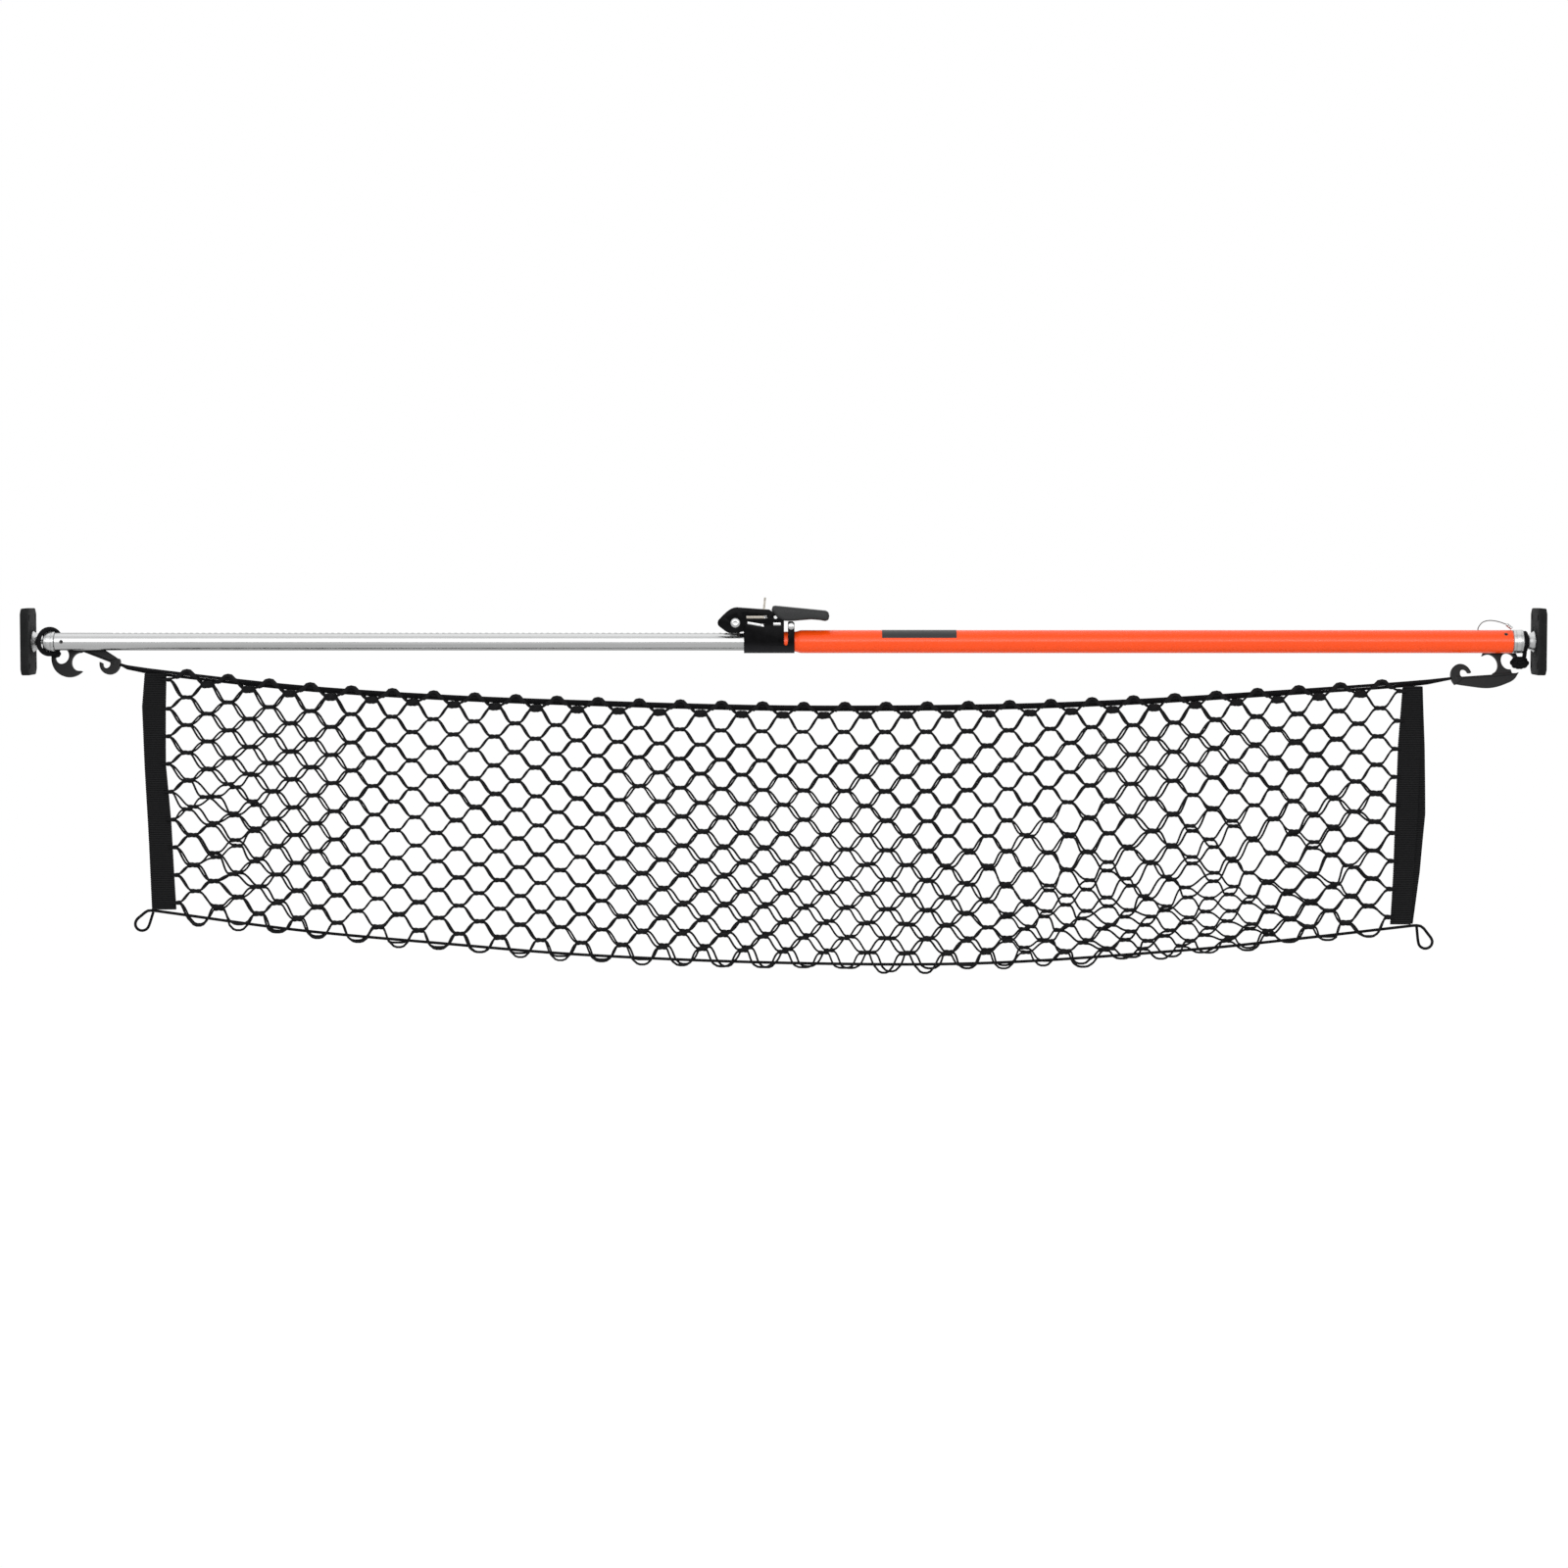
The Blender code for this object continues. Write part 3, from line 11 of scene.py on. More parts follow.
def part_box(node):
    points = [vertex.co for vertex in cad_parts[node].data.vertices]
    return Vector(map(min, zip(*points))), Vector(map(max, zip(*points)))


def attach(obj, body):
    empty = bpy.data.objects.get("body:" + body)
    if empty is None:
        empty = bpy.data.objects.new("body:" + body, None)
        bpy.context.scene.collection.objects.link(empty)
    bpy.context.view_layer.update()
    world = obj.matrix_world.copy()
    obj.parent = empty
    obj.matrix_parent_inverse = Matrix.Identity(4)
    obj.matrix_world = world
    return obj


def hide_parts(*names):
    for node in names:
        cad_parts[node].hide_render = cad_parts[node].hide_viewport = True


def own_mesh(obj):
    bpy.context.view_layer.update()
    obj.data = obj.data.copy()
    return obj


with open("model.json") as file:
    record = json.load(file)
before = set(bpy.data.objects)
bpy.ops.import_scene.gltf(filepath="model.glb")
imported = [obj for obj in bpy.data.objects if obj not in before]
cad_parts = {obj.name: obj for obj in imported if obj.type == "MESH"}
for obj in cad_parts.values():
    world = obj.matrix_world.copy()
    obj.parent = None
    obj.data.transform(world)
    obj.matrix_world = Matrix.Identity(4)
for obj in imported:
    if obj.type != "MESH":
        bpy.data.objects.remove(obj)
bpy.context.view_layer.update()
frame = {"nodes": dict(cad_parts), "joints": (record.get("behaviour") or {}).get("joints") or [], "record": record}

bl_info = {
    "name": "Bed Cargo Bar",
    "version": (1, 0, 0),
    "blender": (4, 5, 0),
    "location": "View3D > Sidebar > Cargo Bar",
    "description": "Dresses a ratcheting cargo bar and its cargo net",
    "category": "Object",
}


def joint_place(name):
    """A joint's pivot in the frame."""
    return Vector(next(j["pos_m"] for j in frame["joints"] if j["name"] == name))


# Places read from the frame
AXLE = joint_place("gear_turn")
RIGHT_BALL = joint_place("right_foot_yaw")
LEFT_BALL = joint_place("left_foot_yaw")
OUTER_LOW, OUTER_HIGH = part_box("outer_tube")
INNER_LOW, INNER_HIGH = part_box("inner_tube")
HOUSING_LOW, HOUSING_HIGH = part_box("ratchet_housing")
RIGHT_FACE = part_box("right_pad")[1].x
LEFT_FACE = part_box("left_pad")[0].x

# Sizes of the bar that the looks repeat
CLEAR = 0.0003
WALL = 0.0012
SHOULDER = 0.0370           # from the end of the swaged neck back to the full tube
NECK = 0.0290
SLOT_PITCH = 0.0072
SLOT_COUNT = 103
SLOT_SIZE = (0.0048, 0.0066, 0.010)
SLOT_CORNER = 0.0012
TEETH = 10
SHEET = 0.0015              # the housing's steel
EAR = 0.0095                # radius of the housing's ears round the axle
AXLE_SPOT = (AXLE.x, AXLE.z)
AXLE_HOLE = 0.0043
PIN_HOLE = 0.0023
CLAMP_HOLE = 0.0029
PAWL_THICK = 0.0030
PAWL_TRAVEL = 0.0030
BLADE = 0.0207              # the drive pawl's length to the foot of its tab
TAB_THICK = 0.0024
TAB_HALF = 0.0060           # half the release tab's width
SPRING_WIRE = 0.0004
SPRING_TURNS = 5
SPRING_STEPS = 16           # points round one turn
GRIP_START = 0.0437
TOP_START = 0.0015          # where the handle's straight top edge starts
TONGUE_END = 0.0760
TONGUE_FALL = 0.0040        # how far the tongue's top edge falls to its end
BRIDGE = 0.0018             # the handle's steel across its top
CHEEK = 0.0016              # the handle's steel at its sides
CHEEK_IN = HOUSING_HIGH.y + CLEAR
CHEEK_OUT = CHEEK_IN + CHEEK
STICKER_ENDS = (-0.7740, -0.6870)

# Values of the modelling and the stage
THROUGH = 0.03              # a cutting tool's reach either side of the bar
WELD = 0.000002             # points nearer than this become one
CORD_WELD = 0.0000005       # the same for thin round pieces
GRAIN_LOW = 0.3             # most of a noise pattern lies between these two
GRAIN_HIGH = 0.7
SENSOR = 36                 # width of the camera's sensor in millimetres
LAMP_X = -0.9               # middle of the lamps and the floor along the bar
WHITE = (1, 1, 1, 1)
WORLD_LIGHT = 0.60          # the backdrop's strength as light on the bar
FLOOR_SIZE = 120
FLOOR_PAINT = (0.86, 0.86, 0.86, 1)
FLOOR_WHITE = 1.03          # the floor's brightness to the camera
FLOOR_GLOW = 0.94           # share of it in what is seen, beside the painted floor and its shadow

# Routes of the net in its own plane, as (X, Z)
TOP_ROUTE = [
    (-1.6330, -0.0345), (-1.4610, -0.0538), (-1.2890, -0.0653), (-1.1180, -0.0721),
    (-0.8885, -0.0779), (-0.6595, -0.0767), (-0.4878, -0.0710), (-0.3160, -0.0607),
    (-0.1590, -0.0498),
]
BOTTOM_ROUTE = [
    (-1.6270, -0.3165), (-1.4610, -0.3390), (-1.2890, -0.3550), (-1.1180, -0.3687),
    (-0.8885, -0.3779), (-0.6595, -0.3784), (-0.4305, -0.3640), (-0.2930, -0.3504),
    (-0.1500, -0.3340),
]
LEFT_CORNER_LOOP = [
    (-1.6330, 0.0000, -0.3160), (-1.6364, -0.0003, -0.3164), (-1.6394, -0.0005, -0.3181),
    (-1.6440, -0.0006, -0.3219), (-1.6486, -0.0006, -0.3258), (-1.6510, -0.0004, -0.3300),
    (-1.6509, 0.0000, -0.3347), (-1.6479, 0.0005, -0.3386), (-1.6433, 0.0012, -0.3399),
    (-1.6387, 0.0020, -0.3383), (-1.6359, 0.0030, -0.3344), (-1.6331, 0.0040, -0.3258),
    (-1.6308, 0.0043, -0.3184),
]
RIGHT_CORNER_LOOP = [
    (-0.1440, 0.0000, -0.3337), (-0.1397, -0.0003, -0.3345), (-0.1363, -0.0005, -0.3371),
    (-0.1320, -0.0006, -0.3427), (-0.1277, -0.0006, -0.3482), (-0.1260, -0.0004, -0.3527),
    (-0.1272, 0.0000, -0.3574), (-0.1310, 0.0005, -0.3605), (-0.1358, 0.0012, -0.3609),
    (-0.1400, 0.0020, -0.3584), (-0.1419, 0.0030, -0.3539), (-0.1431, 0.0040, -0.3430),
    (-0.1438, 0.0043, -0.3357),
]
# Webbing edges down the net as (Z, outer X, inner X)
LEFT_WEBBING = [
    (-0.0375, -1.6370, -1.6120), (-0.0760, -1.6405, -1.6130), (-0.1450, -1.6380, -1.6135),
    (-0.2130, -1.6350, -1.6080), (-0.3145, -1.6310, -1.6030),
]
RIGHT_WEBBING_FRONT = [
    (-0.0525, -0.1420, -0.1640), (-0.1210, -0.1430, -0.1690), (-0.2020, -0.1450, -0.1710),
    (-0.2700, -0.1490, -0.1730), (-0.3320, -0.1520, -0.1760),
]
RIGHT_WEBBING_BACK = [
    (-0.0530, -0.1400, -0.1620), (-0.1210, -0.1370, -0.1640), (-0.2020, -0.1355, -0.1640),
    (-0.2700, -0.1410, -0.1690), (-0.3315, -0.1490, -0.1745),
]
# Hooks as eye centre, turn and yaw in degrees, and lean
LEFT_HOOK_PLACE = ((-1.7362, 0.0162, -0.0178), 170.5, -9.5, -0.35)
RIGHT_HOOK_PLACE = ((-0.0398, 0.0078, -0.0236), 13.8, 6.5, 0.58)
TAIL_END = Vector((-0.0723, 0, -0.0024))
# Knots of the elastic loops as middle and radii
LEFT_KNOT = ((-1.7435, 0.0112, -0.0147), (0.0042, 0.0029, 0.0030))
RIGHT_KNOT = ((-0.0275, -0.0008, -0.0248), (0.0088, 0.0041, 0.0064))
CORD_APART = 0.0025         # each top cord's distance from the net's middle
STRIP_APART = 0.0017        # each webbing strip's distance from the net's middle
PIN_TURN = {"right": math.radians(42), "left": 0.0}


class BarSettings(bpy.types.PropertyGroup):
    """Sizes of the bar's own pieces."""

    tube_facets: IntProperty(
        name="Tube facets", description="Facets round each tube",
        default=72, min=24)
    pad_round: FloatProperty(
        name="Pad edge", description="Rounding of the rubber pads' edges",
        default=0.0014, unit="LENGTH")
    sheet_round: FloatProperty(
        name="Sheet edge", description="Rounding of the pressed steel edges",
        default=0.00035, unit="LENGTH")
    grip_round: FloatProperty(
        name="Grip edge", description="Rounding of the moulded grip",
        default=0.0034, unit="LENGTH")
    hook_voxel: FloatProperty(
        name="Hook detail", description="Cell size of the moulded hooks' skin",
        default=0.00055, unit="LENGTH")
    loop_cord: FloatProperty(
        name="Elastic cord", description="Radius of the elastic loops' cord",
        default=0.0028, unit="LENGTH")


class NetSettings(bpy.types.PropertyGroup):
    """Sizes of the net, its cords and its webbing."""

    half_columns: IntProperty(
        name="Half columns", description="Half meshes across the net",
        default=60, min=8)
    half_rows: IntProperty(
        name="Half rows", description="Half meshes down the net",
        default=18, min=4)
    seed: IntProperty(
        name="Seed", description="Which of the tangles the slack yarns take",
        default=5, min=1)
    yarn: FloatProperty(
        name="Yarn", description="Radius of one yarn",
        default=0.00126, unit="LENGTH")
    knot_length: FloatProperty(
        name="Twist length", description="Length over which two yarns twist",
        default=0.0118, unit="LENGTH")
    layer_gap: FloatProperty(
        name="Layer gap", description="Half the gap between the two layers",
        default=0.0026, unit="LENGTH")
    tangle: FloatProperty(
        name="Tangle", description="How far the slack yarns wander",
        default=0.0115, unit="LENGTH")
    top_cord: FloatProperty(
        name="Top cord", description="Radius of the top cords",
        default=0.0018, unit="LENGTH")
    bottom_cord: FloatProperty(
        name="Bottom cord", description="Radius of the bottom cord",
        default=0.0017, unit="LENGTH")
    rib_pitch: FloatProperty(
        name="Rib pitch", description="Distance between the webbing's ribs",
        default=0.0026, unit="LENGTH")


class FinishSettings(bpy.types.PropertyGroup):
    """Colours of the finishes."""

    orange: FloatVectorProperty(
        name="Orange", description="Enamel on the outer tube",
        subtype="COLOR", default=(0.95, 0.076, 0.004))
    zinc: FloatVectorProperty(
        name="Zinc", description="Plated steel",
        subtype="COLOR", default=(0.54, 0.545, 0.545))
    black: FloatVectorProperty(
        name="Black enamel", description="Ratchet and handle",
        subtype="COLOR", default=(0.0032, 0.0032, 0.0035))
    rubber: FloatVectorProperty(
        name="Rubber", description="End pads",
        subtype="COLOR", default=(0.0095, 0.0098, 0.0100))
    plastic: FloatVectorProperty(
        name="Hook plastic", description="Moulded hooks",
        subtype="COLOR", default=(0.0090, 0.0090, 0.0094))
    grip: FloatVectorProperty(
        name="Grip", description="Moulded grip",
        subtype="COLOR", default=(0.0175, 0.0180, 0.0188))
    textile: FloatVectorProperty(
        name="Textile", description="Net, cords and webbing",
        subtype="COLOR", default=(0.0045, 0.0045, 0.005))
    nylon: FloatVectorProperty(
        name="Nylon", description="Liners and guide bush",
        subtype="COLOR", default=(0.74, 0.73, 0.69))


class StageSettings(bpy.types.PropertyGroup):
    """Camera, lamps and floor."""

    distance: FloatProperty(
        name="Distance", description="Camera to the bar",
        default=4.45, unit="LENGTH")
    frame_width: FloatProperty(
        name="Frame width", description="Width seen at the bar",
        default=1.836, unit="LENGTH")
    height: FloatProperty(
        name="Height", description="Camera above the bar's axis",
        default=0.115, unit="LENGTH")
    aim_x: FloatProperty(
        name="Aim X", description="Middle of the frame along the bar",
        default=-0.8885, unit="LENGTH")
    aim_z: FloatProperty(
        name="Aim Z", description="Middle of the frame below the bar",
        default=-0.1670, unit="LENGTH")
    floor: FloatProperty(
        name="Floor", description="Height of the floor",
        default=-1.05, unit="LENGTH")
    floor_mirrored: FloatProperty(
        name="Floor mirrored", description="Brightness of the floor where metal mirrors it",
        default=0.84)
    key: FloatProperty(
        name="Key", description="Power of the upper front lamp",
        default=24.0, unit="POWER")
    fill: FloatProperty(
        name="Fill", description="Power of the lamp behind the camera",
        default=96.0, unit="POWER")
    overhead: FloatProperty(
        name="Overhead", description="Power of the overhead lamp",
        default=24.0, unit="POWER")


def settle():
    """Leave edit mode with nothing selected."""
    if bpy.context.object and bpy.context.object.mode != "OBJECT":
        bpy.ops.object.mode_set(mode="OBJECT")
    bpy.ops.object.select_all(action="DESELECT")


def pick(piece):
    """Make one object the only selected and active one."""
    settle()
    piece.hide_set(False)
    piece.select_set(True)
    bpy.context.view_layer.objects.active = piece


def draw(name, points):
    """Pull one point along a chain of places, and stay in edit mode."""
    settle()
    bpy.ops.mesh.primitive_plane_add(size=0.01, location=(0, 0, 0))
    piece = bpy.context.object
    piece.name = name
    bpy.ops.object.mode_set(mode="EDIT")
    bpy.ops.mesh.merge(type="CENTER")
    bpy.ops.transform.translate(value=points[0])
    for here, there in zip(points, points[1:]):
        step = Vector(there) - Vector(here)
        bpy.ops.mesh.extrude_region_move(TRANSFORM_OT_translate={"value": step})
    return piece


def edit(piece):
    """Open a piece in edit mode with all of it selected."""
    pick(piece)
    bpy.ops.object.mode_set(mode="EDIT")
    bpy.ops.mesh.select_all(action="SELECT")


def face_out(weld=0.0):
    """Weld near points of the piece in edit mode, turn its faces outwards, and leave edit mode."""
    bpy.ops.mesh.select_all(action="SELECT")
    if weld:
        bpy.ops.mesh.remove_doubles(threshold=weld)
    bpy.ops.mesh.normals_make_consistent(inside=False)
    settle()


def apply_place():
    """Put the active object's place, turn and scale into its mesh."""
    bpy.ops.object.transform_apply(location=True, rotation=True, scale=True)


def lathe(name, profile, axis="X", centre=(0, 0, 0), steps=64, closed=False):
    """Spin a profile of (place along the axis, radius) round an axis."""
    centre = Vector(centre)
    if closed:
        profile = [*profile, profile[0]]
    along = Vector((1, 0, 0)) if axis == "X" else Vector((0, 1, 0))
    points = [centre + along * place + Vector((0, 0, radius)) for place, radius in profile]
    piece = draw(name, points)
    bpy.ops.mesh.select_all(action="SELECT")
    bpy.ops.mesh.spin(steps=steps, angle=math.tau, center=centre, axis=along)
    face_out(WELD)
    return piece


def plate(name, outline, axis, low, high):
    """Draw a closed outline, fill it and pull it to its thickness along X or Y."""
    along_x = axis == "X"
    piece = draw(name, [(low, a, b) if along_x else (a, low, b) for a, b in outline])
    bpy.ops.mesh.select_all(action="SELECT")
    bpy.ops.mesh.edge_face_add()
    pull = Vector((high - low, 0, 0) if along_x else (0, high - low, 0))
    bpy.ops.mesh.extrude_region_move(TRANSFORM_OT_translate={"value": pull})
    face_out()
    return piece


def apply_last(piece):
    """Apply the piece's newest modifier."""
    pick(piece)
    bpy.ops.object.modifier_apply(modifier=piece.modifiers[-1].name)
    settle()


def cut(piece, tool, operation="DIFFERENCE"):
    """Cut, join or intersect a piece with a tool, which is used up."""
    change = piece.modifiers.new("cut", "BOOLEAN")
    change.operation = operation
    change.object = tool
    change.solver = "EXACT"
    apply_last(piece)
    bpy.data.objects.remove(tool)


def round_edges(piece, width, segments=2, angle=35):
    """Round every edge sharper than an angle."""
    change = piece.modifiers.new("round", "BEVEL")
    change.width = width
    change.segments = segments
    change.limit_method = "ANGLE"
    change.angle_limit = math.radians(angle)
    change.harden_normals = False
    apply_last(piece)


def merge_pieces(first, *others):
    """Join pieces into the first one."""
    pick(first)
    for other in others:
        other.select_set(True)
    bpy.ops.object.join()
    settle()


def sweep(name, lines, radius, rounds=1, cyclic=False):
    """Round tubes along lines of (place, share of the radius), as one mesh."""
    settle()
    bpy.ops.curve.primitive_bezier_curve_add(location=(0, 0, 0))
    line = bpy.context.object
    line.name = name
    line.data.splines.clear()
    line.data.bevel_depth = radius
    line.data.bevel_resolution = rounds
    line.data.use_fill_caps = not cyclic
    line.data.dimensions = "3D"
    for places in lines:
        spline = line.data.splines.new("POLY")
        spline.points.add(len(places) - 1)
        for point, (place, share) in zip(spline.points, places):
            point.co = (*place, 1)
            point.radius = share
        spline.use_cyclic_u = cyclic
        spline.use_smooth = True
    bpy.ops.object.convert(target="MESH")
    piece = bpy.context.object
    edit(piece)
    face_out(CORD_WELD)
    return piece


def even(points):
    """Give every place the full radius."""
    return [(Vector(p), 1.0) for p in points]


def finish(piece, body, look, slot, *nodes, angle=35):
    """Shade a piece, give it its finish, and put it on its body in place of its nodes."""
    pick(piece)
    bpy.ops.object.shade_smooth_by_angle(angle=math.radians(angle))
    settle()
    piece.data.materials.clear()
    piece.data.materials.append(SURFACES[look])
    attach(piece, body)
    if nodes:
        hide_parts(*nodes)


def arc(centre, radius, start, end, count):
    """Points on a circle from one angle to another, in degrees."""
    turns = [math.radians(start + (end - start) * k / (count - 1)) for k in range(count)]
    return [(centre[0] + radius * math.cos(t), centre[1] + radius * math.sin(t)) for t in turns]


def smooth_route(points, step):
    """Points read every step from a smooth curve through the route's own points."""
    places = [Vector(p) for p in points]
    padded = [2 * places[0] - places[1], *places, 2 * places[-1] - places[-2]]
    route = []
    for before, start, end, after in zip(padded, padded[1:], padded[2:], padded[3:]):
        count = max(1, round((end - start).length / step))
        for k in range(count):
            t = k / count
            pull = (2 * start + (end - before) * t
                    + (2 * before - 5 * start + 4 * end - after) * t * t
                    + (3 * start - before - 3 * end + after) * t ** 3)
            route.append(pull / 2)
    return [*route, places[-1]]


def smooth_step(t):
    """Ease a number from 0 to 1."""
    t = min(1.0, max(0.0, t))
    return t * t * (3 - 2 * t)


def from_axle(points):
    """Outline points given from the gear's axle, as places in the frame."""
    return [(AXLE.x + x, AXLE.z + z) for x, z in points]


def centre_of(node):
    """The middle of a node's box in the frame."""
    low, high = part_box(node)
    return [(a + b) / 2 for a, b in zip(low, high)]


def block(name, low, high):
    """A squared block between two corners."""
    settle()
    middle = [(a + b) / 2 for a, b in zip(low, high)]
    size = [b - a for a, b in zip(low, high)]
    bpy.ops.mesh.primitive_cube_add(size=1, location=middle, scale=size)
    piece = bpy.context.object
    piece.name = name
    apply_place()
    settle()
    return piece


def cross_hole(name, radius, place, steps=32):
    """A round tool across the bar, at a place given as (X, Z)."""
    profile = [(-THROUGH, 0), (-THROUGH, radius), (THROUGH, radius), (THROUGH, 0)]
    return lathe(name, profile, "Y", (place[0], 0, place[1]), steps)


def headed_pin(name, head, centre, steps):
    """A pin across the bar with the same turned head at both ends."""
    profile = head + [(-place, radius) for place, radius in head[::-1]]
    return lathe(name, profile, "Y", centre, steps)


SOCKETS = {"specular_ior_level": "Specular IOR Level", "specular_tint": "Specular Tint"}
# Finishes by name, as the finishes operator makes them
SURFACES = {}
# The finish of a node that keeps its own shape, by its slot
SLOT_LOOKS = {
    "orange_enamel": "orange_enamel", "zinc_steel": "plated_zinc", "black_enamel": "black_enamel",
    "black_rubber": "pad_rubber", "black_plastic": "hook_plastic", "grip_rubber": "grip_rubber",
    "white_nylon": "bush_nylon", "black_textile": "braided_cord",
}


def add_node(tree, kind, inputs, **settings):
    """A new shader node with its settings, each input set to a value or linked to an output."""
    node = tree.nodes.new(kind)
    for name, value in settings.items():
        setattr(node, name, value)
    for name, value in inputs.items():
        if isinstance(value, bpy.types.NodeSocket):
            tree.links.new(value, node.inputs[name])
        else:
            node.inputs[name].default_value = value
    return node


class Surface:
    """A material with helpers for its node tree."""

    def __init__(self, name, colour, roughness, metallic=0.0, **sockets):
        self.material = bpy.data.materials.new(name)
        self.material.use_nodes = True
        self.tree = self.material.node_tree
        self.shader = self.tree.nodes["Principled BSDF"]
        self.shader.inputs["Base Color"].default_value = (*colour, 1)
        self.shader.inputs["Roughness"].default_value = roughness
        self.shader.inputs["Metallic"].default_value = metallic
        for socket, value in sockets.items():
            self.shader.inputs[SOCKETS[socket]].default_value = value
        self.colour = colour
        self.bump = None

    def add(self, kind, output, inputs, **settings):
        """One output of a new node."""
        return add_node(self.tree, kind, inputs, **settings).outputs[output]

    def feed(self, socket, value):
        """Link an output to one of the shader's inputs."""
        self.tree.links.new(value, self.shader.inputs[socket])

    def place(self, scale=(1, 1, 1), turn=(0, 0, 0)):
        """The object's own coordinates, stretched and turned."""
        own = self.add("ShaderNodeTexCoord", "Object", {})
        return self.add("ShaderNodeMapping", "Vector", {"Vector": own, "Scale": scale, "Rotation": turn})

    def grain(self, scale, stretch=(1, 1, 1), detail=4.0, roughness=0.55):
        """Noise at a scale in cells per metre."""
        inputs = {"Vector": self.place(stretch), "Scale": scale, "Detail": detail, "Roughness": roughness}
        return self.add("ShaderNodeTexNoise", "Fac", inputs)

    def cells(self, scale):
        """Rounded cells at a scale in cells per metre."""
        return self.add("ShaderNodeTexVoronoi", "Distance", {"Vector": self.place(), "Scale": scale})

    def waves(self, pitch, turn):
        """Even ridges at a pitch in metres, across a turned axis."""
        inputs = {"Vector": self.place(turn=turn), "Scale": math.tau / 20 / pitch, "Distortion": 0.0}
        return self.add("ShaderNodeTexWave", "Fac", inputs, wave_profile="SIN")

    def painted_light_by_facing(self, axis):
        """How squarely a face looks along an axis, either way, used as the mask of painted light and shade."""
        normal = self.add("ShaderNodeTexCoord", "Normal", {})
        part = self.add("ShaderNodeSeparateXYZ", axis, {"Vector": normal})
        return self.add("ShaderNodeMath", 0, {0: part}, operation="ABSOLUTE")

    def blend(self, first, second, share):
        """Mix two patterns by a share."""
        return self.add("ShaderNodeMix", "Result", {"Factor": share, "A": first, "B": second})

    def vary_colour(self, value, darker, lighter):
        """Let a pattern move the colour between two shades of itself."""
        dark = (*[c * darker for c in self.colour], 1)
        light = (*[min(1, c * lighter) for c in self.colour], 1)
        inputs = {"Factor": value, "A": dark, "B": light}
        self.feed("Base Color", self.add("ShaderNodeMix", "Result", inputs, data_type="RGBA"))

    def vary_roughness(self, value, low, high):
        """Let a pattern move the roughness."""
        inputs = {
            "Value": value, "From Min": GRAIN_LOW, "From Max": GRAIN_HIGH, "To Min": low, "To Max": high,
        }
        self.feed("Roughness", self.add("ShaderNodeMapRange", "Result", inputs))

    def raise_by(self, value, strength, depth):
        """Add a pattern to the surface's relief."""
        inputs = {"Height": value, "Strength": strength, "Distance": depth}
        if self.bump:
            inputs["Normal"] = self.bump
        self.bump = self.add("ShaderNodeBump", "Normal", inputs)
        self.feed("Normal", self.bump)


def orange_enamel(colour):
    """Sprayed enamel with a faint orange-peel skin."""
    surface = Surface("orange_enamel", colour, 0.24, specular_ior_level=0.34)
    surface.vary_colour(surface.grain(14, detail=3), 0.94, 1.04)
    surface.vary_roughness(surface.grain(260), 0.22, 0.32)
    surface.raise_by(surface.grain(700, detail=2), 0.05, 0.0002)
    return surface.material


def drawn_zinc(colour):
    """Plated tube with fine lines along its length and faint clouding."""
    surface = Surface("drawn_zinc", colour, 0.26, 1.0, specular_tint=(0.35, 0.35, 0.35, 1))
    surface.vary_colour(surface.grain(60, (0.04, 6, 6), 6), 0.78, 1.12)
    surface.vary_roughness(surface.grain(300, (0.02, 3, 3), 5), 0.17, 0.36)
    surface.raise_by(surface.grain(900, (0.015, 1.5, 1.5), 3), 0.10, 0.00012)
    return surface.material


def plated_zinc(colour):
    """Bright plating on small fittings."""
    surface = Surface("plated_zinc", [c * 0.95 for c in colour], 0.28, 1.0)
    surface.vary_colour(surface.grain(240, detail=5), 0.82, 1.08)
    surface.vary_roughness(surface.grain(500), 0.20, 0.38)
    surface.raise_by(surface.grain(1400, detail=2), 0.08, 0.0001)
    return surface.material


def cable_steel(colour):
    """Dull twisted steel cable."""
    surface = Surface("cable_steel", [c * 0.18 for c in colour], 0.42, 1.0)
    surface.vary_colour(surface.grain(600, detail=5), 0.7, 1.3)
    surface.vary_roughness(surface.grain(900), 0.30, 0.48)
    surface.raise_by(surface.waves(0.0008, (0, math.radians(55), 0)), 0.4, 0.0002)
    return surface.material


def worn_steel(colour):
    """Bare pressed steel, dull and slightly warm."""
    warm = [c * share for c, share in zip(colour, (0.62, 0.57, 0.50))]
    surface = Surface("worn_steel", warm, 0.46, 0.85)
    surface.vary_colour(surface.grain(300, detail=5), 0.75, 1.15)
    surface.vary_roughness(surface.grain(700), 0.38, 0.56)
    surface.raise_by(surface.grain(1500, detail=2), 0.10, 0.0001)
    return surface.material


def black_enamel(colour):
    """Baked black enamel on pressed steel, with painted light and shade: faces looking up or down are painted much
    lighter than the side faces.
    """
    surface = Surface("black_enamel", colour, 0.30, specular_ior_level=0.025)
    # Painted light and shade: a random grain mixed with how squarely a face looks up or down, so top and bottom
    # faces are painted lighter and the cheeks darker.
    grain_and_painted_light = surface.blend(surface.grain(120), surface.painted_light_by_facing("Z"), 0.8)
    surface.vary_colour(grain_and_painted_light, 0.1, 9.0)
    surface.vary_roughness(surface.grain(320), 0.22, 0.36)
    surface.raise_by(surface.grain(1100, detail=2), 0.12, 0.00015)
    return surface.material


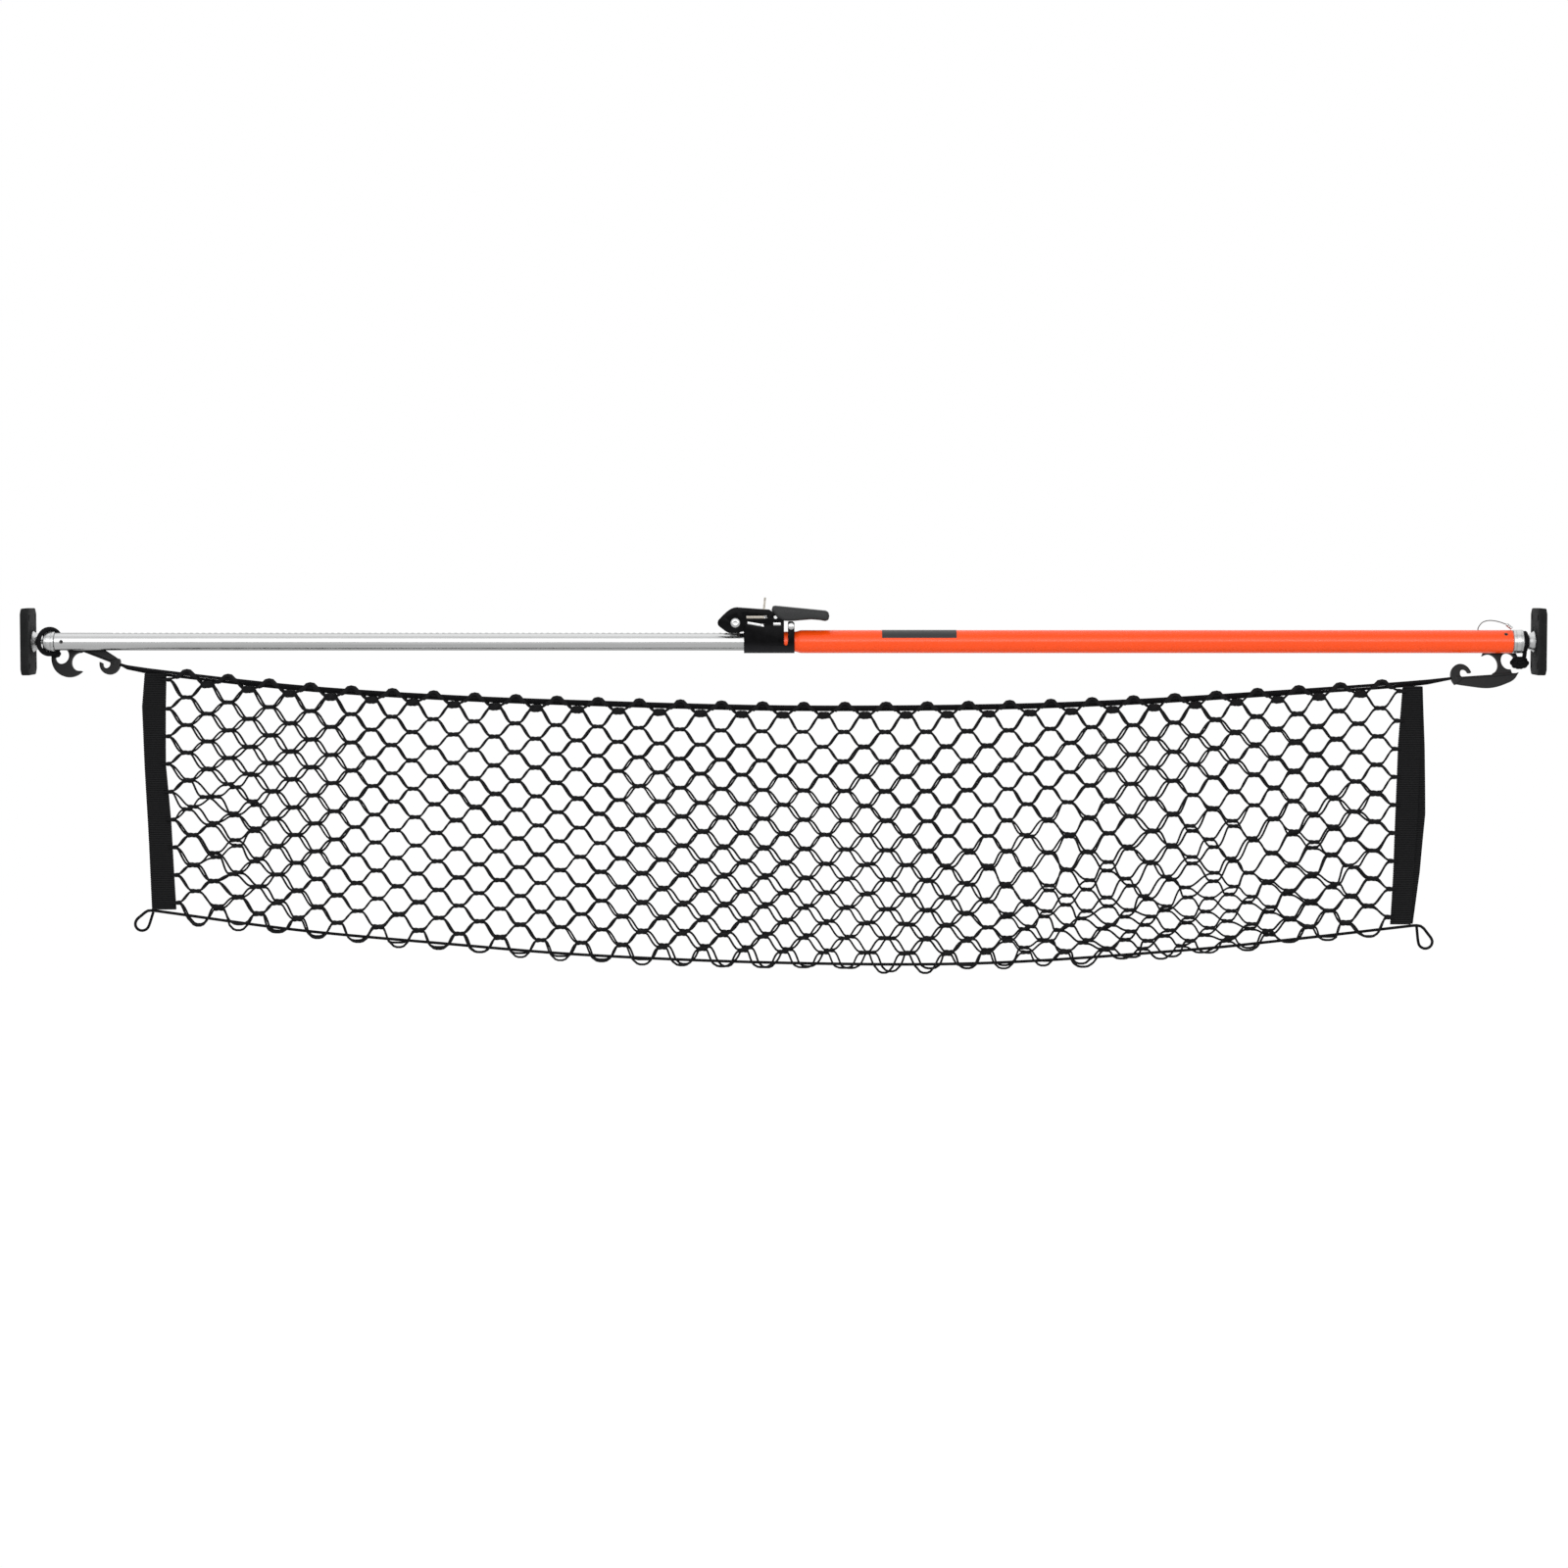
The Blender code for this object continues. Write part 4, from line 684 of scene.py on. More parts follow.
def pad_rubber(colour):
    """Moulded rubber with a dull, lightly dusted skin, and painted light: faces looking along the bar are painted
    lighter than the pad's sides.
    """
    surface = Surface("pad_rubber", colour, 0.66, specular_ior_level=0.08)
    # Painted light: a random dusty grain mixed half and half with how squarely a face looks along the bar, so the
    # pad's end faces are painted lighter than its sides.
    dust_and_painted_light = surface.blend(surface.grain(90, detail=6), surface.painted_light_by_facing("X"), 0.5)
    surface.vary_colour(dust_and_painted_light, 0.55, 2.8)
    surface.vary_roughness(surface.grain(400), 0.60, 0.82)
    surface.raise_by(surface.grain(2200, detail=3), 0.25, 0.00018)
    return surface.material


def hook_plastic(colour):
    """Moulded nylon with a fine spark texture."""
    surface = Surface("hook_plastic", colour, 0.42, specular_ior_level=0.18)
    surface.vary_colour(surface.grain(200), 0.8, 1.3)
    surface.vary_roughness(surface.grain(900), 0.38, 0.55)
    surface.raise_by(surface.grain(2600, detail=2), 0.20, 0.0001)
    return surface.material


def grip_rubber(colour):
    """Moulded grip with a pebbled skin."""
    surface = Surface("grip_rubber", colour, 0.52, specular_ior_level=0.30)
    surface.vary_colour(surface.grain(160), 0.8, 1.3)
    surface.vary_roughness(surface.grain(500), 0.46, 0.64)
    surface.raise_by(surface.cells(1100), 0.30, 0.0002)
    return surface.material


def braided_cord(colour):
    """Braided cord: two crossing runs of strands."""
    surface = Surface("braided_cord", colour, 0.75, specular_ior_level=0.06)
    left = surface.waves(0.0016, (0, math.radians(38), 0))
    right = surface.waves(0.0016, (0, math.radians(-38), 0))
    surface.vary_colour(surface.grain(700), 0.6, 2.2)
    surface.raise_by(left, 0.35, 0.0003)
    surface.raise_by(right, 0.35, 0.0003)
    return surface.material


def net_yarn(colour):
    """Twisted net yarn with a loose fibre grain."""
    surface = Surface("net_yarn", colour, 0.75, specular_ior_level=0.12)
    surface.vary_colour(surface.grain(900, detail=5), 0.5, 2.4)
    surface.raise_by(surface.waves(0.0011, (0, math.radians(62), 0)), 0.40, 0.00025)
    surface.raise_by(surface.grain(3200, detail=2), 0.25, 0.00015)
    return surface.material


def ribbed_webbing(colour):
    """Flat woven webbing: fine warp lines over its ribs."""
    surface = Surface("ribbed_webbing", colour, 0.62, specular_ior_level=0.18)
    surface.vary_colour(surface.grain(500, (1, 1, 3), 5), 0.6, 2.1)
    surface.raise_by(surface.waves(0.0011, (0, 0, 0)), 0.35, 0.0002)
    return surface.material


def bush_nylon(colour):
    """Plain moulded nylon."""
    surface = Surface("bush_nylon", colour, 0.50)
    surface.vary_colour(surface.grain(150), 0.92, 1.04)
    surface.vary_roughness(surface.grain(600), 0.42, 0.58)
    surface.raise_by(surface.grain(1800, detail=2), 0.12, 0.0001)
    return surface.material


def blank_film(colour):
    """Plain dark sticker film."""
    surface = Surface("blank_film", [c * 2.3 for c in colour], 0.42)
    surface.vary_colour(surface.grain(80), 0.85, 1.2)
    surface.vary_roughness(surface.grain(300), 0.38, 0.50)
    return surface.material


class CARGOBAR_OT_finishes(bpy.types.Operator):
    """Make every finish, and put finishes on the nodes that keep their own shape"""

    bl_idname = "cargobar.finishes"
    bl_label = "Make Finishes"

    def execute(self, context):
        colours = context.scene.cargo_bar_finish
        finishes = (
            (orange_enamel, colours.orange), (drawn_zinc, colours.zinc), (plated_zinc, colours.zinc),
            (cable_steel, colours.zinc), (worn_steel, colours.zinc), (black_enamel, colours.black),
            (pad_rubber, colours.rubber), (hook_plastic, colours.plastic), (grip_rubber, colours.grip),
            (braided_cord, colours.textile), (net_yarn, colours.textile), (ribbed_webbing, colours.textile),
            (bush_nylon, colours.nylon), (blank_film, colours.black),
        )
        for make, colour in finishes:
            SURFACES[make.__name__] = make(colour)
        for part in frame["record"]["subparts"]:
            look = SLOT_LOOKS[part["material_slot"]]
            if part["node"].endswith("_plug_pin"):
                look = "cable_steel"
            node = frame["nodes"][part["node"]]
            node.data.materials.clear()
            node.data.materials.append(SURFACES[look])
        return {"FINISHED"}


def light_path_share(tree):
    """An output that is 1 for camera, glossy and transmission rays."""
    path = add_node(tree, "ShaderNodeLightPath", {})
    share = path.outputs["Is Camera Ray"]
    for ray in ("Is Glossy Ray", "Is Transmission Ray"):
        inputs = {0: share, 1: path.outputs[ray]}
        share = add_node(tree, "ShaderNodeMath", inputs, operation="MAXIMUM").outputs[0]
    return share


def make_world(scene):
    """A white backdrop that lights the bar softly."""
    scene.world = bpy.data.worlds.new("studio")
    scene.world.use_nodes = True
    tree = scene.world.node_tree
    seen = tree.nodes["Background"]
    seen.inputs["Color"].default_value = WHITE
    seen.inputs["Strength"].default_value = 1.0
    lit = add_node(tree, "ShaderNodeBackground", {"Color": WHITE, "Strength": WORLD_LIGHT})
    inputs = {"Fac": light_path_share(tree), 1: lit.outputs[0], 2: seen.outputs[0]}
    mix = add_node(tree, "ShaderNodeMixShader", inputs)
    tree.links.new(mix.outputs[0], tree.nodes["World Output"].inputs["Surface"])


def make_floor(height, mirrored):
    """A wide pale floor, white to the camera but for the softest shadow, and greyer in metal."""
    settle()
    bpy.ops.mesh.primitive_plane_add(size=FLOOR_SIZE, location=(LAMP_X, 0, height))
    floor = bpy.context.object
    floor.name = "floor"
    material = bpy.data.materials.new("pale_floor")
    material.use_nodes = True
    tree = material.node_tree
    paint = tree.nodes["Principled BSDF"]
    paint.inputs["Base Color"].default_value = FLOOR_PAINT
    paint.inputs["Roughness"].default_value = 0.9
    camera = add_node(tree, "ShaderNodeLightPath", {}).outputs["Is Camera Ray"]
    inputs = {"Value": camera, "To Min": mirrored, "To Max": FLOOR_WHITE}
    bright = add_node(tree, "ShaderNodeMapRange", inputs)
    glow = add_node(tree, "ShaderNodeEmission", {"Strength": bright.outputs["Result"]})
    inputs = {0: light_path_share(tree), 1: FLOOR_GLOW}
    share = add_node(tree, "ShaderNodeMath", inputs, operation="MULTIPLY")
    inputs = {"Fac": share.outputs[0], 1: paint.outputs[0], 2: glow.outputs[0]}
    mix = add_node(tree, "ShaderNodeMixShader", inputs)
    tree.links.new(mix.outputs[0], tree.nodes["Material Output"].inputs["Surface"])
    floor.data.materials.append(material)


def make_lamp(name, place, aim, size, power):
    """A soft rectangular lamp."""
    settle()
    bpy.ops.object.light_add(type="AREA", location=place)
    lamp = bpy.context.object
    lamp.name = name
    lamp.data.shape = "RECTANGLE"
    lamp.data.size, lamp.data.size_y = size
    lamp.data.energy = power
    lamp.rotation_euler = (Vector(aim) - Vector(place)).to_track_quat("-Z", "Y").to_euler()


class CARGOBAR_OT_stage(bpy.types.Operator):
    """Make the camera, the lamps, the floor and the white backdrop"""

    bl_idname = "cargobar.stage"
    bl_label = "Make Stage"

    def execute(self, context):
        stage = context.scene.cargo_bar_stage
        aim = Vector((stage.aim_x, 0, stage.aim_z))
        settle()
        bpy.ops.object.camera_add(location=(stage.aim_x, -stage.distance, stage.height))
        camera = context.object
        camera.rotation_euler = (aim - camera.location).to_track_quat("-Z", "Y").to_euler()
        camera.data.sensor_width = SENSOR
        camera.data.lens = SENSOR * stage.distance / stage.frame_width
        context.scene.camera = camera
        make_lamp("front_lamp", (LAMP_X, -3.2, 1.75), (LAMP_X, 0, 0.1), (4.2, 2.0), stage.key)
        make_lamp("fill_lamp", (LAMP_X, -4.9, 1.00), (LAMP_X, 0, 0), (6.0, 1.3), stage.fill)
        make_lamp("overhead_lamp", (LAMP_X, 1.4, 2.3), (LAMP_X, 1.4, 0), (3.8, 4.2), stage.overhead)
        make_world(context.scene)
        make_floor(stage.floor, stage.floor_mirrored)
        context.scene.view_settings.view_transform = "Standard"
        return {"FINISHED"}


class CARGOBAR_OT_tubes(bpy.types.Operator):
    """Model the enamelled outer tube, its blank sticker and the slotted inner tube"""

    bl_idname = "cargobar.tubes"
    bl_label = "Make Tubes"

    def execute(self, context):
        facets = context.scene.cargo_bar.tube_facets
        make_outer_tube(facets)
        make_sticker()
        make_inner_tube(facets)
        return {"FINISHED"}


def pin_hole(side):
    """The tool for a plug's pin hole, turned about the bar as the pin is."""
    pin_x = centre_of(side + "_plug_pin")[0]
    hole = cross_hole("pin_hole", PIN_HOLE, (pin_x, 0), 24)
    edit(hole)
    bpy.ops.transform.rotate(value=PIN_TURN[side], orient_axis="X", center_override=(pin_x, 0, 0))
    settle()
    return hole


def make_outer_tube(facets):
    """The enamelled tube with a smooth swage down to its neck."""
    radius = OUTER_HIGH.z
    neck = HOUSING_HIGH.y - SHEET - CLEAR
    left, right = OUTER_LOW.x, OUTER_HIGH.x
    rim = 0.0004
    swage_steps = 8
    profile = [(right, radius - WALL), (right, radius - rim), (right - rim, radius)]
    for k in range(swage_steps + 1):
        t = k / swage_steps
        place = left + SHOULDER - (SHOULDER - NECK) * t
        profile.append((place, radius - (radius - neck) * smooth_step(t)))
    profile += [(left + rim, neck), (left, neck - rim), (left, neck - WALL),
                (left + NECK, neck - WALL), (left + SHOULDER, radius - WALL)]
    tube = lathe("outer_tube_skin", profile, steps=facets, closed=True)
    cut(tube, pin_hole("right"))
    finish(tube, "outer_bar", "orange_enamel", "orange_enamel", "outer_tube")


def make_sticker():
    """A plain dark sticker wrapped on the front of the outer tube."""
    left, right = STICKER_ENDS
    first, span = 20, 66
    lift, film = 0.00012, 0.00014
    radius = OUTER_HIGH.z + lift
    settle()
    bpy.ops.mesh.primitive_grid_add(x_subdivisions=24, y_subdivisions=18, size=1)
    sticker = bpy.context.object
    sticker.name = "blank_sticker"
    for vertex in sticker.data.vertices:
        angle = math.radians(first + (vertex.co.y + 0.5) * span)
        x = left + (vertex.co.x + 0.5) * (right - left)
        vertex.co = (x, -radius * math.cos(angle), radius * math.sin(angle))
    thick = sticker.modifiers.new("film", "SOLIDIFY")
    thick.thickness = film
    thick.offset = 1.0
    apply_last(sticker)
    finish(sticker, "outer_bar", "blank_film", "black_enamel")


def make_inner_tube(facets):
    """The plated tube with its row of rounded slots."""
    radius = INNER_HIGH.z
    left, right = INNER_LOW.x, INNER_HIGH.x
    rim = 0.0003
    profile = [(right, radius - WALL), (right, radius), (left + rim, radius), (left, radius - rim),
               (left, radius - WALL)]
    tube = lathe("inner_tube_skin", profile, steps=facets, closed=True)
    settle()
    first = AXLE.x + SLOT_PITCH
    bpy.ops.mesh.primitive_cube_add(size=1, location=(first, 0, radius), scale=SLOT_SIZE)
    punch = bpy.context.object
    apply_place()
    bpy.ops.object.mode_set(mode="EDIT")
    bpy.ops.mesh.select_all(action="DESELECT")
    bpy.ops.object.mode_set(mode="OBJECT")
    for edge in punch.data.edges:
        low, high = (punch.data.vertices[index].co for index in edge.vertices)
        edge.select = abs(high.z - low.z) > SLOT_SIZE[2] / 2
    bpy.ops.object.mode_set(mode="EDIT")
    bpy.ops.mesh.bevel(offset=SLOT_CORNER, segments=3, affect="EDGES")
    settle()
    row = punch.modifiers.new("row", "ARRAY")
    row.count = SLOT_COUNT
    row.use_relative_offset = False
    row.use_constant_offset = True
    row.constant_offset_displace = (-SLOT_PITCH, 0, 0)
    apply_last(punch)
    cut(tube, punch)
    cut(tube, pin_hole("left"))
    finish(tube, "inner_bar", "drawn_zinc", "zinc_steel", "inner_tube")


class CARGOBAR_OT_ends(bpy.types.Operator):
    """Model the rubber pads, their sockets and the ball-ended plugs"""

    bl_idname = "cargobar.ends"
    bl_label = "Make Ends"

    def execute(self, context):
        edge = context.scene.cargo_bar.pad_round
        ends = (("right", RIGHT_FACE, -1.0, RIGHT_BALL.x, "outer_bar"),
                ("left", LEFT_FACE, 1.0, LEFT_BALL.x, "inner_bar"))
        for side, face, inward, ball, carrier in ends:
            make_pad(side, face, inward, edge)
            make_socket(side, ball, inward)
            make_plug(side, ball, inward, carrier)
        return {"FINISHED"}


def make_pad(side, face, inward, edge):
    """A rounded rubber pad with screw holes, and raised rings round its socket."""
    low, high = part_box(side + "_pad")
    corner, thick = 0.006, 0.010
    outline = [
        (high.y - corner, low.z), (high.y, low.z + corner), (high.y, high.z - corner),
        (high.y - corner, high.z), (low.y + corner, high.z), (low.y, high.z - corner),
        (low.y, low.z + corner), (low.y + corner, low.z),
    ]
    pad = plate(side + "_pad_rubber", outline, "X", low.x, high.x)
    round_edges(pad, edge, 3)
    bore_r, sink_r = 0.0030, 0.0048
    inner = face + inward * thick
    start = face - inward * 0.001
    mouth = inner + inward * 0.0004
    hole = [(start, 0), (start, bore_r), (inner - inward * 0.0014, bore_r), (mouth, sink_r), (mouth, 0)]
    from_side, from_end = 0.006, 0.011
    for y in (low.y + from_side, high.y - from_side):
        for z in (low.z + from_end, high.z - from_end):
            cut(pad, lathe("screw_hole", hole, "X", (0, y, z), 24))
    rise, sunk, half = 0.0008, 0.0003, 0.0011
    turns = [math.radians(t) for t in range(0, 181, 30)]
    rings = []
    for ring_r in (0.0145, 0.0182):
        ridge = [(inner + inward * (rise * math.sin(t) - sunk), ring_r + half * math.cos(t)) for t in turns]
        rings.append(lathe("pad_ring", ridge, "X", (0, 0, 0), 64, closed=True))
    merge_pieces(pad, *rings)
    finish(pad, side + "_foot", "pad_rubber", "black_rubber", side + "_pad")


def make_socket(side, ball, inward):
    """A bell-shaped socket with a rolled rim."""
    back = 0.0052
    inner_r = 0.0061
    mouth = 0.0040
    steps = 10
    first, last = math.acos(mouth / inner_r), math.pi / 2
    hollow = [first * (1 - k / steps) + last * k / steps for k in range(steps + 1)]
    inside = [(ball + inward * inner_r * math.cos(t), inner_r * math.sin(t)) for t in hollow]
    outside = [
        (-back, inner_r), (-back, 0.0119), (0.0003 - back, 0.01225), (0.0011 - back, 0.01225),
        (0.0015 - back, 0.0119), (0.0022 - back, 0.0113), (0.0040 - back, 0.0104),
        (0.0064 - back, 0.0092), (0.0084 - back, 0.0082), (mouth - 0.0004, 0.0079),
        (mouth, 0.0074), (mouth, 0.0050),
    ]
    profile = inside + [(ball + inward * place, radius) for place, radius in outside]
    socket = lathe(side + "_socket_bell", profile, "X", (0, 0, 0), 64, closed=True)
    finish(socket, side + "_foot", "plated_zinc", "zinc_steel", side + "_socket")


def groove(start, radius):
    """Profile points of a shallow groove round a flange."""
    deep = radius - 0.0004
    return [(start, radius), (start + 0.0003, deep), (start + 0.0010, deep), (start + 0.0013, radius)]


def make_plug(side, ball, inward, carrier):
    """A turned plug with a grooved flange, a filleted stud and a ball."""
    flange_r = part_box(side + "_end_plug")[1].z
    spigot_r = (INNER_HIGH.z if side == "left" else OUTER_HIGH.z) - WALL - CLEAR
    ball_r, stud_r = 0.0050, 0.0030
    face = 0.0080
    end = face + 0.0130 - CLEAR
    tip = end + 0.0250
    steps = 14
    start = math.asin(stud_r / ball_r)
    swept = [math.pi - (math.pi - start) * k / steps for k in range(steps + 1)]
    profile = [(ball_r * math.cos(t), ball_r * math.sin(t)) for t in swept]
    profile += [
        (face - 0.0012, stud_r), (face - 0.0004, stud_r + 0.0005), (face, stud_r + 0.0014),
        (face, flange_r - 0.0012), (face + 0.0004, flange_r - 0.0004), (face + 0.0012, flange_r),
        *groove(face + 0.0028, flange_r), *groove(end - 0.0041, flange_r), (end - 0.0008, flange_r),
        (end, flange_r - 0.0008), (end, spigot_r), (tip - 0.0008, spigot_r), (tip, spigot_r - 0.0008),
        (tip, 0),
    ]
    placed = [(ball + inward * place, radius) for place, radius in profile]
    plug = lathe(side + "_plug_turned", placed, "X", (0, 0, 0), 64)
    cut(plug, pin_hole(side))
    finish(plug, carrier, "plated_zinc", "zinc_steel", side + "_end_plug")


class CARGOBAR_OT_ratchet(bpy.types.Operator):
    """Model the pressed housing and the gear, axle, pawl, stop and rivet that it carries"""

    bl_idname = "cargobar.ratchet"
    bl_label = "Make Ratchet"

    def execute(self, context):
        edge = context.scene.cargo_bar.sheet_round
        make_housing(edge)
        make_gear(edge)
        make_axle()
        make_rivet()
        make_hold_pawl(edge)
        make_spring_stop(edge)
        make_spring("hold_pawl_spring", "outer_bar")
        make_spring("drive_pawl_spring", "handle")
        return {"FINISHED"}


def hold_pawl_outline(grow, travel):
    """The slanting hold pawl from its side, or its slot."""
    low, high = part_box("hold_pawl")
    length = 0.0160
    slant = math.radians(10)
    along = Vector((math.cos(slant), -math.sin(slant)))
    up = Vector((math.sin(slant), math.cos(slant)))
    half = PAWL_THICK / 2
    tip = Vector((low.x + up.x * half, high.z - up.y * half))
    start = tip - along * grow
    end = tip + along * (length + travel + grow)
    wide = up * (half + grow)
    return [tuple(place) for place in (start - wide, end - wide, end + wide, start + wide)]


def make_housing(edge):
    """Folded steel sleeve with axle ears, a clamping strap and slots for the pawl and the stop."""
    outer = HOUSING_HIGH.y
    inner = outer - SHEET
    top = AXLE.z + EAR
    past = 0.002
    shape = [(outer, top), *arc((0, 0), outer, 0, -180, 33), (-outer, top),
             (-inner, top), *arc((0, 0), inner, -180, 0, 33), (inner, top)]
    housing = plate("ratchet_housing_pressed", shape, "X", HOUSING_LOW.x - past, HOUSING_HIGH.x + past)
    back = HOUSING_HIGH.x
    front = AXLE.x + 0.0100
    strap = back - 0.0076
    slit = strap - 0.0046
    slit_r = 0.0023
    side = [
        (back, -THROUGH), (back, 0.0215), (back - 0.0020, 0.0235), (strap + 0.0010, 0.0235),
        (strap, 0.0225), (strap, -0.0020), *arc((strap - slit_r, -0.0020), slit_r, 0, -180, 9),
        (slit, 0.0246), (slit - 0.0016, 0.0262), (front + CLEAR, 0.0262), *arc(AXLE_SPOT, EAR, 60, 270, 25),
        (front - 0.0015, AXLE.z - EAR), (front, AXLE.z - 0.0110), (front, -THROUGH),
    ]
    cut(housing, plate("housing_side", side, "Y", -THROUGH, THROUGH), "INTERSECT")
    cut(housing, cross_hole("axle_hole", AXLE_HOLE, AXLE_SPOT))
    clamp_x, _, clamp_z = centre_of("clamp_rivet")
    cut(housing, cross_hole("clamp_hole", CLAMP_HOLE, (clamp_x, clamp_z)))
    cut(housing, plate("pawl_slot", hold_pawl_outline(CLEAR, PAWL_TRAVEL), "Y", -THROUGH, THROUGH))
    low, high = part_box("spring_stop")
    slot_low = (low.x - CLEAR, -THROUGH, low.z - CLEAR)
    slot_high = (high.x + CLEAR, THROUGH, high.z + CLEAR)
    cut(housing, block("stop_slot", slot_low, slot_high))
    round_edges(housing, edge, 2, 50)
    finish(housing, "outer_bar", "black_enamel", "black_enamel", "ratchet_housing")


def make_gear(edge):
    """A small toothed wheel."""
    low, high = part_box("ratchet_gear")
    pitch_r = TEETH * SLOT_PITCH / math.tau
    tip_r, root_r = pitch_r + 0.0021, pitch_r - 0.0019
    flanks = ((root_r, -0.0023), (pitch_r, -0.0015), (tip_r, -0.00085),
              (tip_r, 0.00085), (pitch_r, 0.0015), (root_r, 0.0023))
    outline = []
    for tooth in range(TEETH):
        middle = math.tau * tooth / TEETH - math.pi / 2
        for radius, half in flanks:
            angle = middle + half / radius
            outline.append((AXLE.x + radius * math.cos(angle), AXLE.z + radius * math.sin(angle)))
    gear = plate("ratchet_gear_cut", outline, "Y", low.y, high.y)
    cut(gear, cross_hole("gear_bore", AXLE_HOLE, AXLE_SPOT))
    round_edges(gear, edge * 0.8, 2, 25)
    finish(gear, "gear", "plated_zinc", "zinc_steel", "ratchet_gear")


def make_axle():
    """The gear's axle with two domed and dimpled heads."""
    reach = CHEEK_OUT + CLEAR
    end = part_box("gear_axle")[1].y
    head = [(end - 0.0003, 0), (end - 0.0003, 0.0014), (end, 0.0021), (end - 0.0001, 0.0034),
            (end - 0.0006, 0.0048), (end - 0.0011, 0.0054), (reach, 0.0054), (reach, 0.0040)]
    axle = headed_pin("gear_axle_turned", head, AXLE, 48)
    finish(axle, "outer_bar", "plated_zinc", "zinc_steel", "gear_axle")


def make_rivet():
    """The clamping rivet with two domed heads."""
    x, _, z = centre_of("clamp_rivet")
    reach = HOUSING_HIGH.y + CLEAR
    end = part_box("clamp_rivet")[1].y
    dome = [(end, 0), (end - 0.0001, 0.0016), (end - 0.0004, 0.0030), (end - 0.0008, 0.0038),
            (reach, 0.0040), (reach, 0.0026)]
    rivet = headed_pin("clamp_rivet_domed", dome, (x, 0, z), 40)
    finish(rivet, "outer_bar", "plated_zinc", "zinc_steel", "clamp_rivet")


def make_hold_pawl(edge):
    """The flat hold pawl, its edges rounded."""
    low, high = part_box("hold_pawl")
    pawl = plate("hold_pawl_ground", hold_pawl_outline(0, 0), "Y", low.y, high.y)
    round_edges(pawl, edge, 2)
    finish(pawl, "hold_pawl_body", "plated_zinc", "zinc_steel", "hold_pawl")


def make_spring(node, body):
    """A wire coil of even turns, filling its node's box."""
    low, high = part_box(node)
    radius = high.y - SPRING_WIRE
    length = high.x - low.x
    level = (low.z + high.z) / 2
    points = []
    count = SPRING_TURNS * SPRING_STEPS
    for k in range(count + 1):
        turn = math.tau * k / SPRING_STEPS
        x = low.x + SPRING_WIRE + (length - 2 * SPRING_WIRE) * k / count
        points.append((x, radius * math.cos(turn), level + radius * math.sin(turn)))
    coil = sweep(node + "_coil", [even(points)], SPRING_WIRE, 2)
    finish(coil, body, "plated_zinc", "zinc_steel", node)
    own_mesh(coil)


def make_spring_stop(edge):
    """The flat cross bar behind the hold pawl's spring."""
    low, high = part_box("spring_stop")
    stop = block("spring_stop_bar", low, high)
    round_edges(stop, edge, 2)
    finish(stop, "outer_bar", "plated_zinc", "zinc_steel", "spring_stop")


class CARGOBAR_OT_handle(bpy.types.Operator):
    """Model the handle channel, its grip and the drive pawl with its release tab"""

    bl_idname = "cargobar.handle"
    bl_label = "Make Handle"

    def execute(self, context):
        sizes = context.scene.cargo_bar
        make_handle_frame(sizes.sheet_round)
        make_grip(sizes.grip_round)
        make_drive_pawl(sizes.sheet_round)
        return {"FINISHED"}


def handle_top(x):
    """Height above the axle of the handle's top edge, which falls evenly towards the grip."""
    return 0.0179 - (x - TOP_START) * 0.0029 / 0.0403


TONGUE_TOP = handle_top(GRIP_START) - 0.0025


def make_handle_frame(edge):
    """Pressed channel with round-nosed cheeks."""
    bend = GRIP_START - 0.004
    cheek = from_axle([
        (0.0045, -0.0119), (-0.0074, -0.0119), (-0.0115, -0.0097), (-0.0155, -0.0067), (-0.0190, -0.0040),
        (-0.0203, -0.0022), (-0.0207, 0.0004), (-0.0200, 0.0030), (-0.0155, 0.0078), (-0.0109, 0.0122),
        (-0.0060, 0.0157), (-0.0025, 0.0172), (TOP_START, handle_top(TOP_START)), (bend, handle_top(bend)),
        (GRIP_START + CLEAR, TONGUE_TOP), (TONGUE_END, TONGUE_TOP - TONGUE_FALL), (TONGUE_END, 0.0060),
        (0.0530, 0.0030), (0.0130, 0.0030), (0.0118, 0.0010), (0.0105, -0.0040), (0.0080, -0.0095),
    ])
    handle = plate("handle_frame_pressed", cheek, "Y", -CHEEK_OUT, CHEEK_OUT)
    far = 0.05
    past = TONGUE_END + 0.01
    under = GRIP_START - 0.0060
    channel = from_axle([
        (-far, -far), (past, -far), (past, TONGUE_TOP - 0.0063), (GRIP_START - 0.0020, TONGUE_TOP - BRIDGE),
        (under, handle_top(under) - BRIDGE), (TOP_START, handle_top(TOP_START) - BRIDGE),
        (TOP_START, far), (-far, far),
    ])
    cut(handle, plate("channel", channel, "Y", -CHEEK_IN, CHEEK_IN))
    cut(handle, cross_hole("axle_hole", AXLE_HOLE, AXLE_SPOT))
    low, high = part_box("drive_pawl")
    foot = low.x + BLADE
    slot_low = (low.x - CLEAR, -THROUGH, low.z - CLEAR)
    slot_high = (foot + PAWL_TRAVEL + CLEAR, THROUGH, low.z + PAWL_THICK + CLEAR)
    cut(handle, block("pawl_slot", slot_low, slot_high))
    window_half = TAB_HALF + CLEAR
    window_low = (foot - TAB_THICK - CLEAR, -window_half, low.z + PAWL_THICK)
    window_high = (high.x + PAWL_TRAVEL + CLEAR, window_half, AXLE.z + THROUGH)
    cut(handle, block("tab_window", window_low, window_high))
    seat_x, _, seat_z = centre_of("spring_seat_pin")
    cut(handle, cross_hole("seat_hole", PIN_HOLE, (seat_x, seat_z)))
    round_edges(handle, edge, 2, 50)
    finish(handle, "handle", "black_enamel", "black_enamel", "handle_frame")


